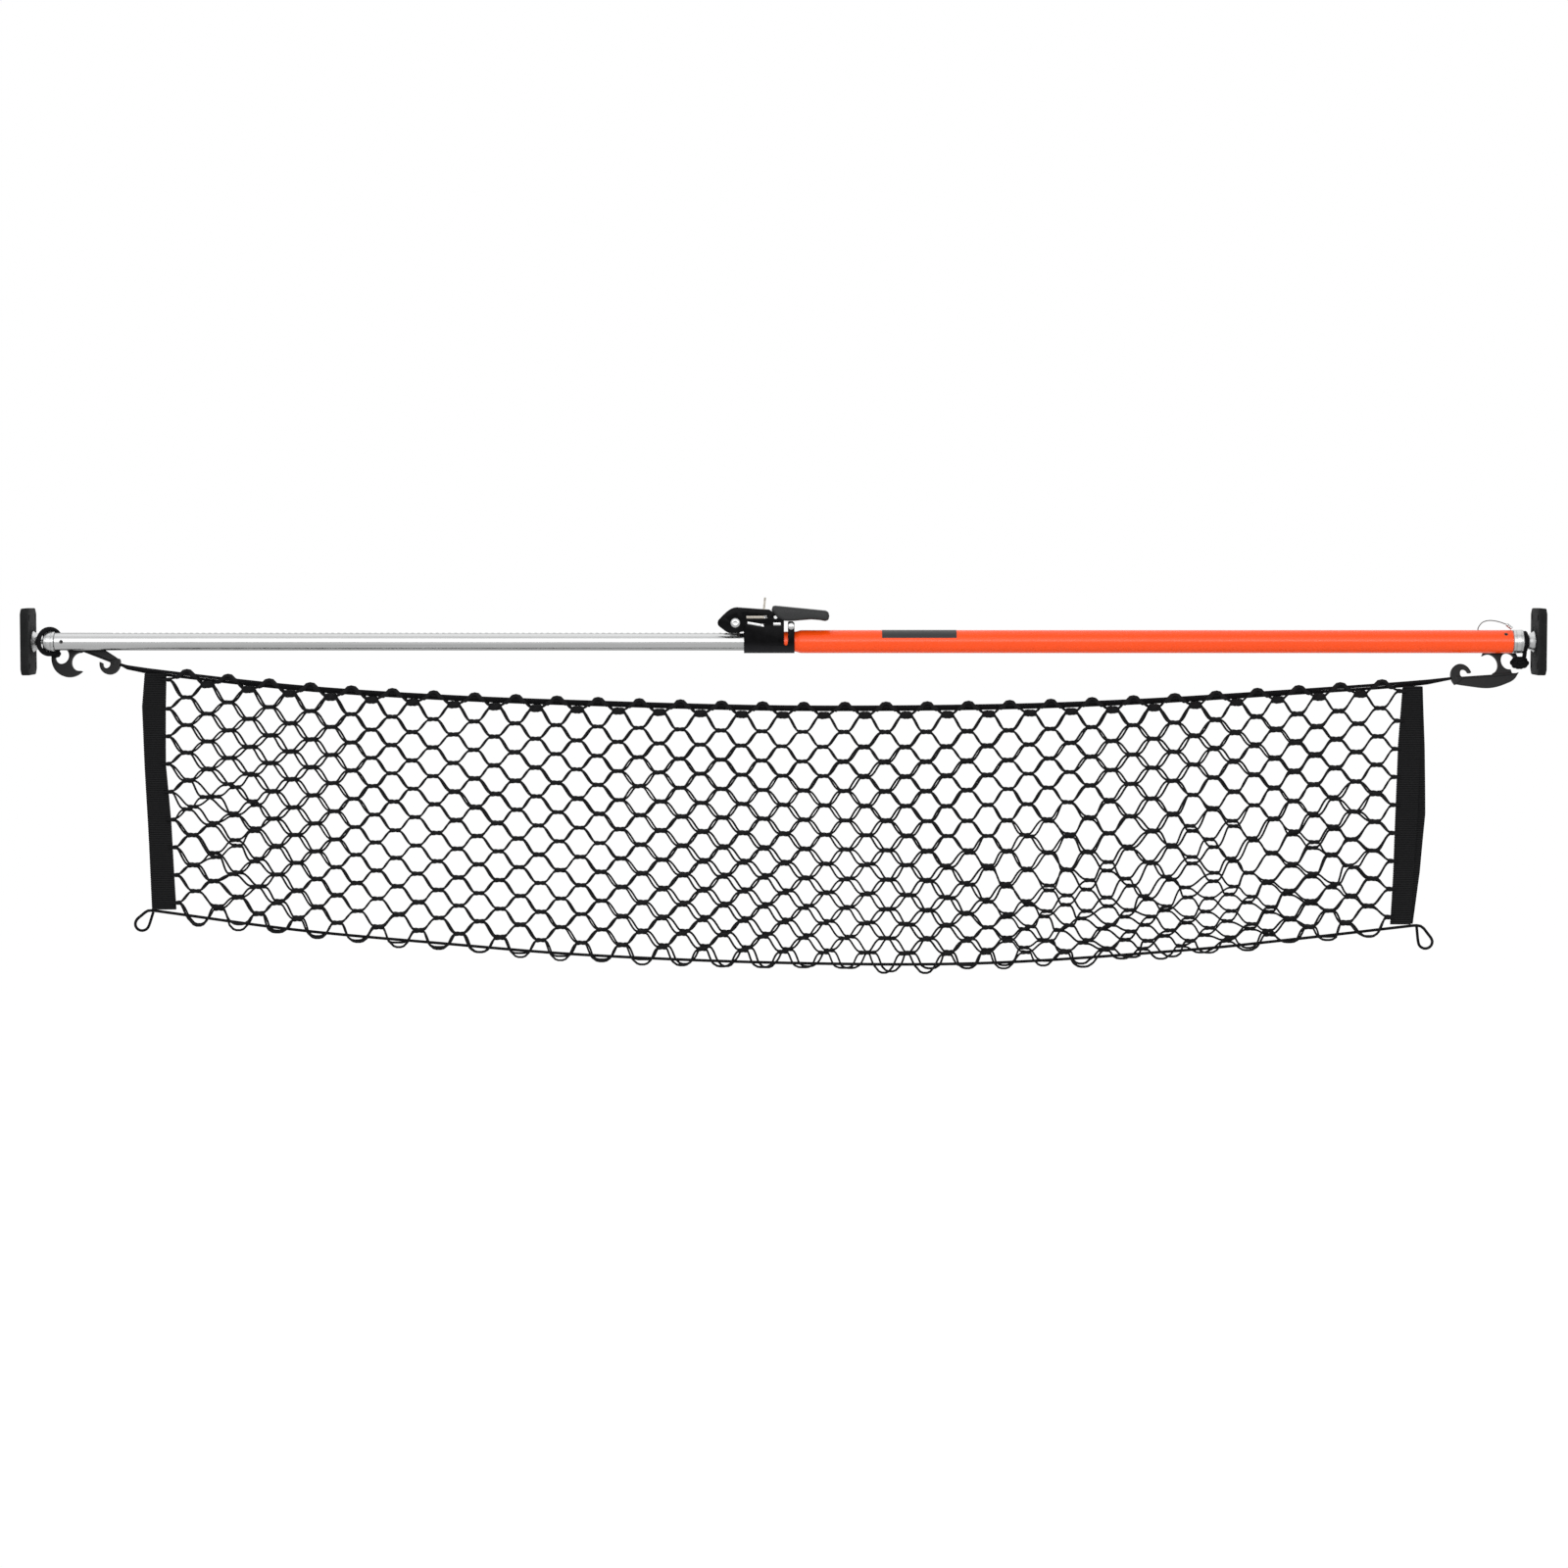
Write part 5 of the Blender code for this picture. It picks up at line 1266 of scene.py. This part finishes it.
def make_grip(edge):
    """Moulded grip over the handle's tongue, open below."""
    low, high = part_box("handle_grip")
    start = GRIP_START
    end = start + 0.0660
    top = handle_top(start) + 0.0049
    bottom = 0.0244 - AXLE.z
    outline = from_axle([
        (start + 0.0135, bottom), (start + 0.0200, bottom - 0.0002), (start + 0.0260, bottom),
        (start + 0.0350, bottom + 0.0010), (start + 0.0450, bottom + 0.0018),
        (start + 0.0550, bottom + 0.0010), (end - 0.0030, bottom - 0.0006),
        (end - 0.0008, bottom + 0.0020), (end, bottom + 0.0060), (end - 0.0010, bottom + 0.0100),
        (end - 0.0040, bottom + 0.0118), (start + 0.0030, top), (start, top - 0.0006),
        (start - 0.0016, top - 0.0050), (start + 0.0050, bottom + 0.0042),
    ])
    grip = plate("handle_grip_moulded", outline, "Y", low.y, high.y)
    round_edges(grip, edge, 4, 60)
    before = start - 0.01
    pocket_end = TONGUE_END + CLEAR
    pocket = from_axle([
        (before, -THROUGH), (pocket_end, -THROUGH), (pocket_end, TONGUE_TOP - TONGUE_FALL + CLEAR),
        (start + CLEAR, TONGUE_TOP + CLEAR), (before, TONGUE_TOP + 0.02),
    ])
    cut(grip, plate("tongue_pocket", pocket, "Y", -CHEEK_OUT - CLEAR, CHEEK_OUT + CLEAR))
    finish(grip, "handle", "grip_rubber", "grip_rubber", "handle_grip", angle=40)


def make_drive_pawl(edge):
    """Flat drive pawl with a round-topped release tab bent up from it."""
    low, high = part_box("drive_pawl")
    foot = low.x + BLADE
    root = low.z + 0.001
    bend = AXLE.z + 0.0147
    blade = block("drive_pawl_pressed", low, (foot, high.y, low.z + PAWL_THICK))
    tab_side = [(foot - TAB_THICK, root), (foot, root), (foot + 0.0007, bend),
                (high.x, high.z), (high.x - TAB_THICK, high.z), (foot - 0.0017, bend)]
    tab = plate("tab", tab_side, "Y", -TAB_HALF, TAB_HALF)
    shape = [(-TAB_HALF, low.z), (TAB_HALF, low.z), *arc((0, high.z - TAB_HALF), TAB_HALF, 0, 180, 17)]
    cut(tab, plate("tab_top", shape, "X", foot - 0.01, foot + 0.01), "INTERSECT")
    cut(blade, tab, "UNION")
    round_edges(blade, edge, 2, 40)
    finish(blade, "drive_pawl_body", "worn_steel", "zinc_steel", "drive_pawl")


class CARGOBAR_OT_hooks(bpy.types.Operator):
    """Model the two moulded hooks"""

    bl_idname = "cargobar.hooks"
    bl_label = "Make Hooks"

    def execute(self, context):
        voxel = context.scene.cargo_bar.hook_voxel
        make_hook("left", "left_hook_body", LEFT_HOOK_PLACE, voxel)
        make_hook("right", "net", RIGHT_HOOK_PLACE, voxel)
        return {"FINISHED"}


def hook_matrix(place):
    """Where a hook's own drawing goes in the frame."""
    eye, turn, yaw, lean = place
    shear = Matrix.Identity(4)
    shear[1][2] = lean
    return (Matrix.Translation(eye) @ Matrix.Rotation(math.radians(yaw), 4, "Z")
            @ Matrix.Rotation(math.radians(-turn), 4, "Y") @ shear)


def make_hook(side, body, place, voxel):
    """A double hook: an eye for the elastic loop, an open catch, a spine and a curled tail."""
    half, spine_half, rib_half = 0.0030, 0.00215, 0.0036
    eye_r = 0.0086
    eye = arc((0, 0), eye_r, 0, 270, 28)
    bow = arc((-0.0097, -0.0008), 0.0225, 2, 146, 34)
    catch = arc((-0.0226, 0.0023), 0.0102, 96, -90, 24)
    horns = [(eye_r, 0.0), *bow, *catch, (-0.0226, -0.0119), (0.0, -0.0130), *eye[::-1]]
    hook = plate(side + "_hook_moulded", horns, "Y", -half, half)
    belly = [
        (0.0090, -0.0135), (0.0007, -0.0195), (-0.0098, -0.0215), (-0.0235, -0.0222), (-0.0366, -0.0202),
        (-0.0549, -0.0140), (-0.0695, -0.0082), (-0.0706, -0.0045),
    ]
    curve = [(p.x, p.z) for p in smooth_route([(x, 0, z) for x, z in belly], 0.002)]
    back, front = (-0.0656, -0.0024), (0.0040, -0.0137)
    cut(hook, plate("spine", [back, front, *curve], "Y", -spine_half, spine_half), "UNION")
    rib = 0.0016
    edge = [back, front, (front[0] + 0.0004, front[1] - rib), (back[0], back[1] - rib)]
    cut(hook, plate("top_rib", edge, "Y", -rib_half, rib_half), "UNION")
    tail = [*arc((-0.0592, -0.0024), 0.0125, 2, 215, 36), *arc((-0.0555, -0.0010), 0.0048, 240, 0, 22)]
    cut(hook, plate("tail", tail, "Y", -half, half), "UNION")
    skin = hook.modifiers.new("skin", "REMESH")
    skin.mode = "VOXEL"
    skin.voxel_size = voxel
    apply_last(hook)
    relax = hook.modifiers.new("relax", "SMOOTH")
    relax.factor = 0.5
    relax.iterations = 5
    apply_last(hook)
    hook.matrix_world = hook_matrix(place)
    pick(hook)
    apply_place()
    finish(hook, body, "hook_plastic", "black_plastic", side + "_hook", angle=60)


class CARGOBAR_OT_loops(bpy.types.Operator):
    """Model the knotted elastic loops round the end plugs"""

    bl_idname = "cargobar.loops"
    bl_label = "Make Loops"

    def execute(self, context):
        cord = context.scene.cargo_bar.loop_cord
        left = oval((-1.7480, 0, 0), 0.0174, 0.0146, -37)
        make_loop("left", "left_hook_body", left, LEFT_KNOT, cord)
        ring_x = RIGHT_BALL.x - 0.0056
        right = oval((ring_x - 0.0002, 0, 0), 0.0102, 0.0102, 0)
        drop = [(ring_x, 0, -0.0100), (ring_x - 0.0004, 0, -0.0150), (ring_x - 0.0010, 0.0004, -0.0200)]
        make_loop("right", "net", right, RIGHT_KNOT, cord * 0.88, drop)
        return {"FINISHED"}


def oval(centre, wide, high, tilt):
    """Points round an oval ring across the bar, turned about Z."""
    count = 72
    turn = Matrix.Rotation(math.radians(tilt), 3, "Z")
    angles = [math.tau * k / count for k in range(count)]
    return [Vector(centre) + turn @ Vector((0, wide * math.cos(a), high * math.sin(a))) for a in angles]


def make_loop(side, body, ring, knot, cord, drop=None):
    """A ring of elastic cord, gathered into a wound knot."""
    middle, radii = knot
    loop = sweep(side + "_loop_elastic", [even(ring)], cord, 3, cyclic=True)
    tied = []
    if drop:
        tied.append(sweep("drop", [even(smooth_route(drop, 0.001))], cord, 3))
    count, rounds, swings = 160, 3, 5
    wound = []
    for k in range(count):
        t = math.tau * k / count
        lift = 1.05 * math.sin(swings * t)
        flat = math.cos(lift)
        swell = 1 + 0.10 * math.cos(4 * t)
        way = Vector((math.cos(rounds * t) * flat, math.sin(lift), math.sin(rounds * t) * flat)) * swell
        wound.append(Vector(middle) + Vector([a * b for a, b in zip(way, radii)]))
    tied.append(sweep("winding", [even(wound)], cord * 0.72, 2, cyclic=True))
    settle()
    bpy.ops.mesh.primitive_uv_sphere_add(segments=32, ring_count=16, radius=1, location=middle, scale=radii)
    core = bpy.context.object
    apply_place()
    edit(core)
    bpy.ops.transform.vertex_random(offset=cord * 0.2, seed=4)
    tied.append(core)
    merge_pieces(loop, *tied)
    finish(loop, body, "braided_cord", "black_textile", side + "_loop", angle=60)


def squash_with_slide(piece):
    """Give a soft piece a mesh of its own."""
    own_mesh(piece)


def height_on(route, x):
    """Height of a route's smooth curve at X."""
    for first, second in zip(route, route[1:]):
        if first.x <= x <= second.x:
            return first.z + (second.z - first.z) * (x - first.x) / (second.x - first.x)
    return route[0].z if x < route[0].x else route[-1].z


def between(rows, z):
    """Edge places on a webbing at a height, read between its stated rows."""
    z = min(rows[0][0], max(rows[-1][0], z))
    for first, second in zip(rows, rows[1:]):
        if second[0] <= z <= first[0]:
            share = (z - first[0]) / (second[0] - first[0])
            return [a + (b - a) * share for a, b in zip(first[1:], second[1:])]
    return list(rows[-1][1:])


TOP_LINE = smooth_route([(x, 0, z) for x, z in TOP_ROUTE], 0.02)
BOTTOM_LINE = smooth_route([(x, 0, z) for x, z in BOTTOM_ROUTE], 0.02)


class CARGOBAR_OT_net(bpy.types.Operator):
    """Weave the two layers of the net"""

    bl_idname = "cargobar.net"
    bl_label = "Make Net"

    def execute(self, context):
        sizes = context.scene.cargo_bar_net
        noise.seed_set(sizes.seed)
        for name, side in (("front_net", -1), ("back_net", 1)):
            layer = sweep(name, net_lines(sizes, side), sizes.yarn, 1)
            nodes = ("net_mesh",) if side < 0 else ()
            finish(layer, "net", "net_yarn", "black_textile", *nodes, angle=80)
            squash_with_slide(layer)
        return {"FINISHED"}


def row_share(sizes, row):
    """How far down the net a half row of twists lies, with the first drawn up under the top cords."""
    whole = sizes.half_rows - 0.62
    if row == 0:
        return 0.0
    if row == 1:
        return 0.47 / whole
    return (row - 0.42) / whole


def plain_place(across, down):
    """X and Z of a twist if the net hung evenly between its cords and its webbing."""
    z = -0.2
    for _ in range(3):
        left = between(LEFT_WEBBING, z)[1]
        right = between(RIGHT_WEBBING_FRONT, z)[1]
        x = left + (right - left) * across
        top = height_on(TOP_LINE, x)
        bottom = height_on(BOTTOM_LINE, x)
        z = top + (bottom - top) * down
    return x, z


def frayed(across, down):
    """How loose the yarns come beside the webbing, low on the net."""
    rim = min(across, 1 - across)
    return smooth_step((0.11 - rim) / 0.07) * smooth_step((down - 0.25) / 0.35) * min(1.0, 30 * rim)


def back_drift(x, z, across):
    """How far the back layer lies out of line with the front one."""
    drift = noise.noise_vector(Vector((x * 3.1 + 2.0, 7.7, z * 2.3)))
    spread = 0.20 + 0.80 * smooth_step(abs(across - 0.27) / 0.22)
    spread += 0.25 * smooth_step((across - 0.5) / 0.2)
    near_left = smooth_step((0.17 - across) / 0.10)
    along = 0.0110 * drift.x + 0.0012 + 0.0024 * near_left
    up = 0.0070 * drift.z + 0.0022 * near_left
    return Vector((along, 0, up)) * spread


def net_place(sizes, side, column, row):
    """Where a twist lies in one layer of the net."""
    across = column / sizes.half_columns
    down = row_share(sizes, row)
    x, z = plain_place(across, down)
    inside = min(1.0, 9 * across, 7 * (1 - across))
    held = inside * min(1.0, 3.0 * down)
    slack = smooth_step((across - 0.56) / 0.2) * smooth_step((down - 0.22) / 0.5)
    amount = sizes.tangle * max((0.12 + 0.88 * slack) * held, 0.95 * frayed(across, down))
    wander = noise.noise_vector(Vector((x * 15, side * 5.3, z * 21)))
    shift = Vector((0, 0, 0))
    if side > 0:
        shift = back_drift(x, z, across) * inside * min(1.0, 5.0 * down)
    droop = 0.020 if side > 0 else 0.011
    shift.z -= droop * slack * math.sin(math.pi * min(1.0, down) ** 2) * inside
    belly = sizes.layer_gap * (1 + 0.7 * held)
    tangled = Vector((wander.x, 0.2 * wander.y, 0.8 * wander.z))
    return Vector((x, side * belly, z)) + shift + amount * tangled


def net_lines(sizes, side):
    """Every yarn of one layer, from webbing to webbing, turning round the top and bottom cords."""
    half = sizes.knot_length / 2
    lines = []
    for start in range(1, sizes.half_rows, 2):
        for way in (1, -1):
            row = start
            first = net_place(sizes, side, 0, row)
            line = [(first - Vector((0.005, side * 0.0008, 0)), 1.2)]
            line += twist_points(sizes, first, half, way)[2:]
            for column in range(1, sizes.half_columns):
                row += way
                middle = net_place(sizes, side, column, row)
                if row == 0:
                    ring = bump_points(sizes, side, middle, half)
                    way = 1
                elif row == sizes.half_rows:
                    ring = hang_points(sizes, side, middle, half, column)
                    way = -1
                else:
                    ring = twist_points(sizes, middle, half, way, 2.1 if row == 1 else 1.0)
                line += slope_points(line[-1][0], ring[0][0], side)
                line += ring
            last = net_place(sizes, side, sizes.half_columns, row + way)
            end = twist_points(sizes, last, half, way)[:3]
            line += slope_points(line[-1][0], end[0][0], side)
            line += end
            line.append((last + Vector((0.005, -side * 0.0008, 0)), 1.2))
            lines.append(line)
    return lines


def twist_points(sizes, middle, half, way, stout=1.0):
    """One yarn of a pair that twist round each other, fullest in the middle."""
    points = []
    start = 0.0 if way > 0 else math.pi
    for k in range(5):
        share = k / 4
        angle = start + math.pi * share
        swell = sizes.yarn * (1.0 - 0.12 * math.sin(math.pi * share))
        offset = Vector(((share - 0.5) * 2 * half, swell * math.sin(angle), swell * math.cos(angle)))
        points.append((middle + offset, stout * (1.12 + 0.55 * math.sin(math.pi * share))))
    return points


def bump_points(sizes, side, middle, half):
    """A yarn that rises from below, goes over the top cords and down again."""
    over = sizes.top_cord + sizes.yarn * 1.3 + 0.0021
    behind = side * (CORD_APART + sizes.top_cord + sizes.yarn * 1.3)
    path = ((-1.9, behind, -0.0020), (-1.2, behind * 0.9, 0.0006), (-0.6, side * 0.0026, over * 0.86),
            (0.0, side * 0.0012, over), (0.6, side * 0.0026, over * 0.86), (1.2, behind * 0.9, 0.0006),
            (1.9, behind, -0.0020))
    return [(Vector((middle.x + x * half, y, middle.z + z)), 1.95) for x, y, z in path]


def hang_points(sizes, side, middle, half, column):
    """A yarn that hangs in a shallow loop below the bottom cord."""
    apart = side * (sizes.bottom_cord + sizes.yarn * 1.4)
    chance = noise.noise(Vector((column * 0.83, side * 2.9, 0.4)))
    sag = 0.0030 + 0.0046 * chance
    bend = -sag * 0.72
    path = ((-1.7, 0.0010), (-1.0, bend), (-0.4, -sag), (0.4, -sag), (1.0, bend), (1.7, 0.0010))
    return [(Vector((middle.x + x * half, apart, middle.z + z)), 1.1) for x, z in path]


def slope_points(start, end, side):
    """The stretch of yarn between two twists, leaving and arriving level."""
    points = []
    for t in (0.16, 0.33, 0.5, 0.67, 0.84):
        eased = 0.35 * t + 0.65 * smooth_step(t)
        bow = side * 0.0007 * math.sin(math.pi * t)
        x = start.x + (end.x - start.x) * t + bow
        y = start.y + (end.y - start.y) * t
        z = start.z + (end.z - start.z) * eased
        points.append((Vector((x, y, z)), 1.0))
    return points


class CARGOBAR_OT_cords(bpy.types.Operator):
    """Lay the net's top cords, and its bottom cord with a loop at each corner"""

    bl_idname = "cargobar.cords"
    bl_label = "Make Cords"

    def execute(self, context):
        sizes = context.scene.cargo_bar_net
        make_top_cords(sizes.top_cord)
        make_bottom_cord(sizes.bottom_cord)
        return {"FINISHED"}


def make_top_cords(radius):
    """Two cords from the right hook's tail to the left hook's tail."""
    left = hook_matrix(LEFT_HOOK_PLACE) @ TAIL_END
    right = hook_matrix(RIGHT_HOOK_PLACE) @ TAIL_END
    for side, y in (("front", -CORD_APART), ("back", CORD_APART)):
        route = [(x, y, z - 0.72 * y) for x, z in TOP_ROUTE]
        ends = [Vector((end.x, end.y + y * 0.7, end.z)) for end in (left, right)]
        points = smooth_route([ends[0], *route, ends[1]], 0.02)[::-1]
        cord = sweep(side + "_top_cord_braided", [even(points)], radius, 3)
        finish(cord, "net", "braided_cord", "black_textile", side + "_top_cord", angle=60)
        squash_with_slide(cord)


def make_bottom_cord(radius):
    """One cord under the net that ends in a loop at each corner."""
    line = smooth_route([(x, 0, z) for x, z in BOTTOM_ROUTE], 0.008)
    points = smooth_route([*LEFT_CORNER_LOOP[::-1], *line, *RIGHT_CORNER_LOOP], 0.003)
    cord = sweep("bottom_cord_braided", [even(points)], radius, 3)
    nodes = ("bottom_cord", "left_corner_loop", "right_corner_loop")
    finish(cord, "net", "braided_cord", "black_textile", *nodes, angle=60)
    squash_with_slide(cord)


class CARGOBAR_OT_webbing(bpy.types.Operator):
    """Model the ribbed webbing down both ends of the net"""

    bl_idname = "cargobar.webbing"
    bl_label = "Make Webbing"

    def execute(self, context):
        pitch = context.scene.cargo_bar_net.rib_pitch
        make_webbing("left", LEFT_WEBBING, LEFT_WEBBING, pitch)
        make_webbing("right", RIGHT_WEBBING_FRONT, RIGHT_WEBBING_BACK, pitch)
        return {"FINISHED"}


def make_strip(name, rows, y, pitch):
    """One ribbed strip of webbing between two edges."""
    top, bottom = rows[0][0], rows[-1][0]
    ribs = round((top - bottom) / pitch)
    settle()
    bpy.ops.mesh.primitive_grid_add(x_subdivisions=6, y_subdivisions=ribs * 4, size=1)
    strip = bpy.context.object
    strip.name = name
    for vertex in strip.data.vertices:
        down = 0.5 - vertex.co.y
        across = vertex.co.x + 0.5
        z = top + (bottom - top) * down
        outer, inner = between(rows, z)
        rib = math.cos(math.tau * down * ribs)
        ripple = 0.00050 * rib
        wave = 0.0009 * math.sin(math.tau * (down * 1.7 + across * 0.3))
        scallop = 0.00018 * rib * (2 * across - 1)
        vertex.co = (outer + (inner - outer) * across - scallop, y + ripple + wave, z)
    thick = strip.modifiers.new("thick", "SOLIDIFY")
    thick.thickness = 0.0011
    thick.offset = 0.0
    apply_last(strip)
    return strip


def make_webbing(side, front, back, pitch):
    """Two strips of ribbed webbing laid back to back."""
    near = make_strip(side + "_webbing_ribbed", front, -STRIP_APART, pitch)
    far = make_strip("far_strip", back, STRIP_APART, pitch)
    merge_pieces(near, far)
    edit(near)
    face_out()
    finish(near, "net", "ribbed_webbing", "black_textile", side + "_webbing", angle=60)
    squash_with_slide(near)


class CARGOBAR_OT_tether(bpy.types.Operator):
    """Model the bent wire tether and its crimped sleeve"""

    bl_idname = "cargobar.tether"
    bl_label = "Make Tether"

    def execute(self, context):
        end = OUTER_HIGH.x
        top = OUTER_HIGH.z
        wire_r, sleeve_r, sleeve_half = 0.0006, 0.0021, 0.00375
        crimp = Vector((end - 0.0035, -0.0005, top + 0.0042))
        lean = Vector((0.80, 0, -0.60)) * sleeve_half
        route = [
            (end - 0.0390, 0.0060, top - 0.0010), (end - 0.0385, 0.0050, top + 0.0030),
            (end - 0.0340, 0.0030, top + 0.0090), (end - 0.0260, 0.0012, top + 0.0112),
            (end - 0.0160, 0.0000, top + 0.0098), crimp - lean * 1.08,
        ]
        wire = sweep("tether_wire_drawn", [even(smooth_route(route, 0.0012))], wire_r, 2)
        finish(wire, "outer_bar", "cable_steel", "zinc_steel", "tether_wire", angle=60)
        pressed = (0.86, 1.0, 0.98, 0.80, 0.78, 0.96, 0.98, 0.80, 0.78, 0.96, 1.0, 0.86)
        last = len(pressed) - 1
        places = [crimp - lean + lean * 2 * k / last for k in range(len(pressed))]
        sleeve = sweep("tether_crimp_pressed", [list(zip(places, pressed))], sleeve_r, 4)
        finish(sleeve, "outer_bar", "plated_zinc", "zinc_steel", "tether_crimp", angle=60)
        return {"FINISHED"}


class CARGOBAR_PT_panel(bpy.types.Panel):
    """Cargo bar tools in the sidebar"""

    bl_idname = "CARGOBAR_PT_panel"
    bl_label = "Cargo Bar"
    bl_space_type = "VIEW_3D"
    bl_region_type = "UI"
    bl_category = "Cargo Bar"

    def draw(self, context):
        for operator in OPERATORS:
            self.layout.operator(operator.bl_idname)
        for group in SETTINGS:
            settings = getattr(context.scene, group)
            for name in settings.bl_rna.properties.keys():
                if name not in ("rna_type", "name"):
                    self.layout.prop(settings, name)


OPERATORS = (
    CARGOBAR_OT_stage, CARGOBAR_OT_finishes, CARGOBAR_OT_cords, CARGOBAR_OT_net, CARGOBAR_OT_webbing,
    CARGOBAR_OT_tubes, CARGOBAR_OT_ends, CARGOBAR_OT_ratchet, CARGOBAR_OT_handle, CARGOBAR_OT_hooks,
    CARGOBAR_OT_loops, CARGOBAR_OT_tether,
)
SETTINGS = {
    "cargo_bar": BarSettings, "cargo_bar_net": NetSettings, "cargo_bar_finish": FinishSettings,
    "cargo_bar_stage": StageSettings,
}


def register():
    """Register the settings, the operators and the panel."""
    for name, group in SETTINGS.items():
        bpy.utils.register_class(group)
        setattr(bpy.types.Scene, name, PointerProperty(type=group))
    for operator in OPERATORS:
        bpy.utils.register_class(operator)
    bpy.utils.register_class(CARGOBAR_PT_panel)


def unregister():
    """Take everything back out."""
    bpy.utils.unregister_class(CARGOBAR_PT_panel)
    for operator in reversed(OPERATORS):
        bpy.utils.unregister_class(operator)
    for name, group in SETTINGS.items():
        delattr(bpy.types.Scene, name)
        bpy.utils.unregister_class(group)


def main():
    """Dress the bar."""
    register()
    bpy.ops.cargobar.stage()
    bpy.ops.cargobar.finishes()
    bpy.ops.cargobar.cords()
    bpy.ops.cargobar.net()
    bpy.ops.cargobar.webbing()
    bpy.ops.cargobar.tubes()
    bpy.ops.cargobar.ends()
    bpy.ops.cargobar.ratchet()
    bpy.ops.cargobar.handle()
    bpy.ops.cargobar.hooks()
    bpy.ops.cargobar.loops()
    bpy.ops.cargobar.tether()


if __name__ == "__main__":
    main()
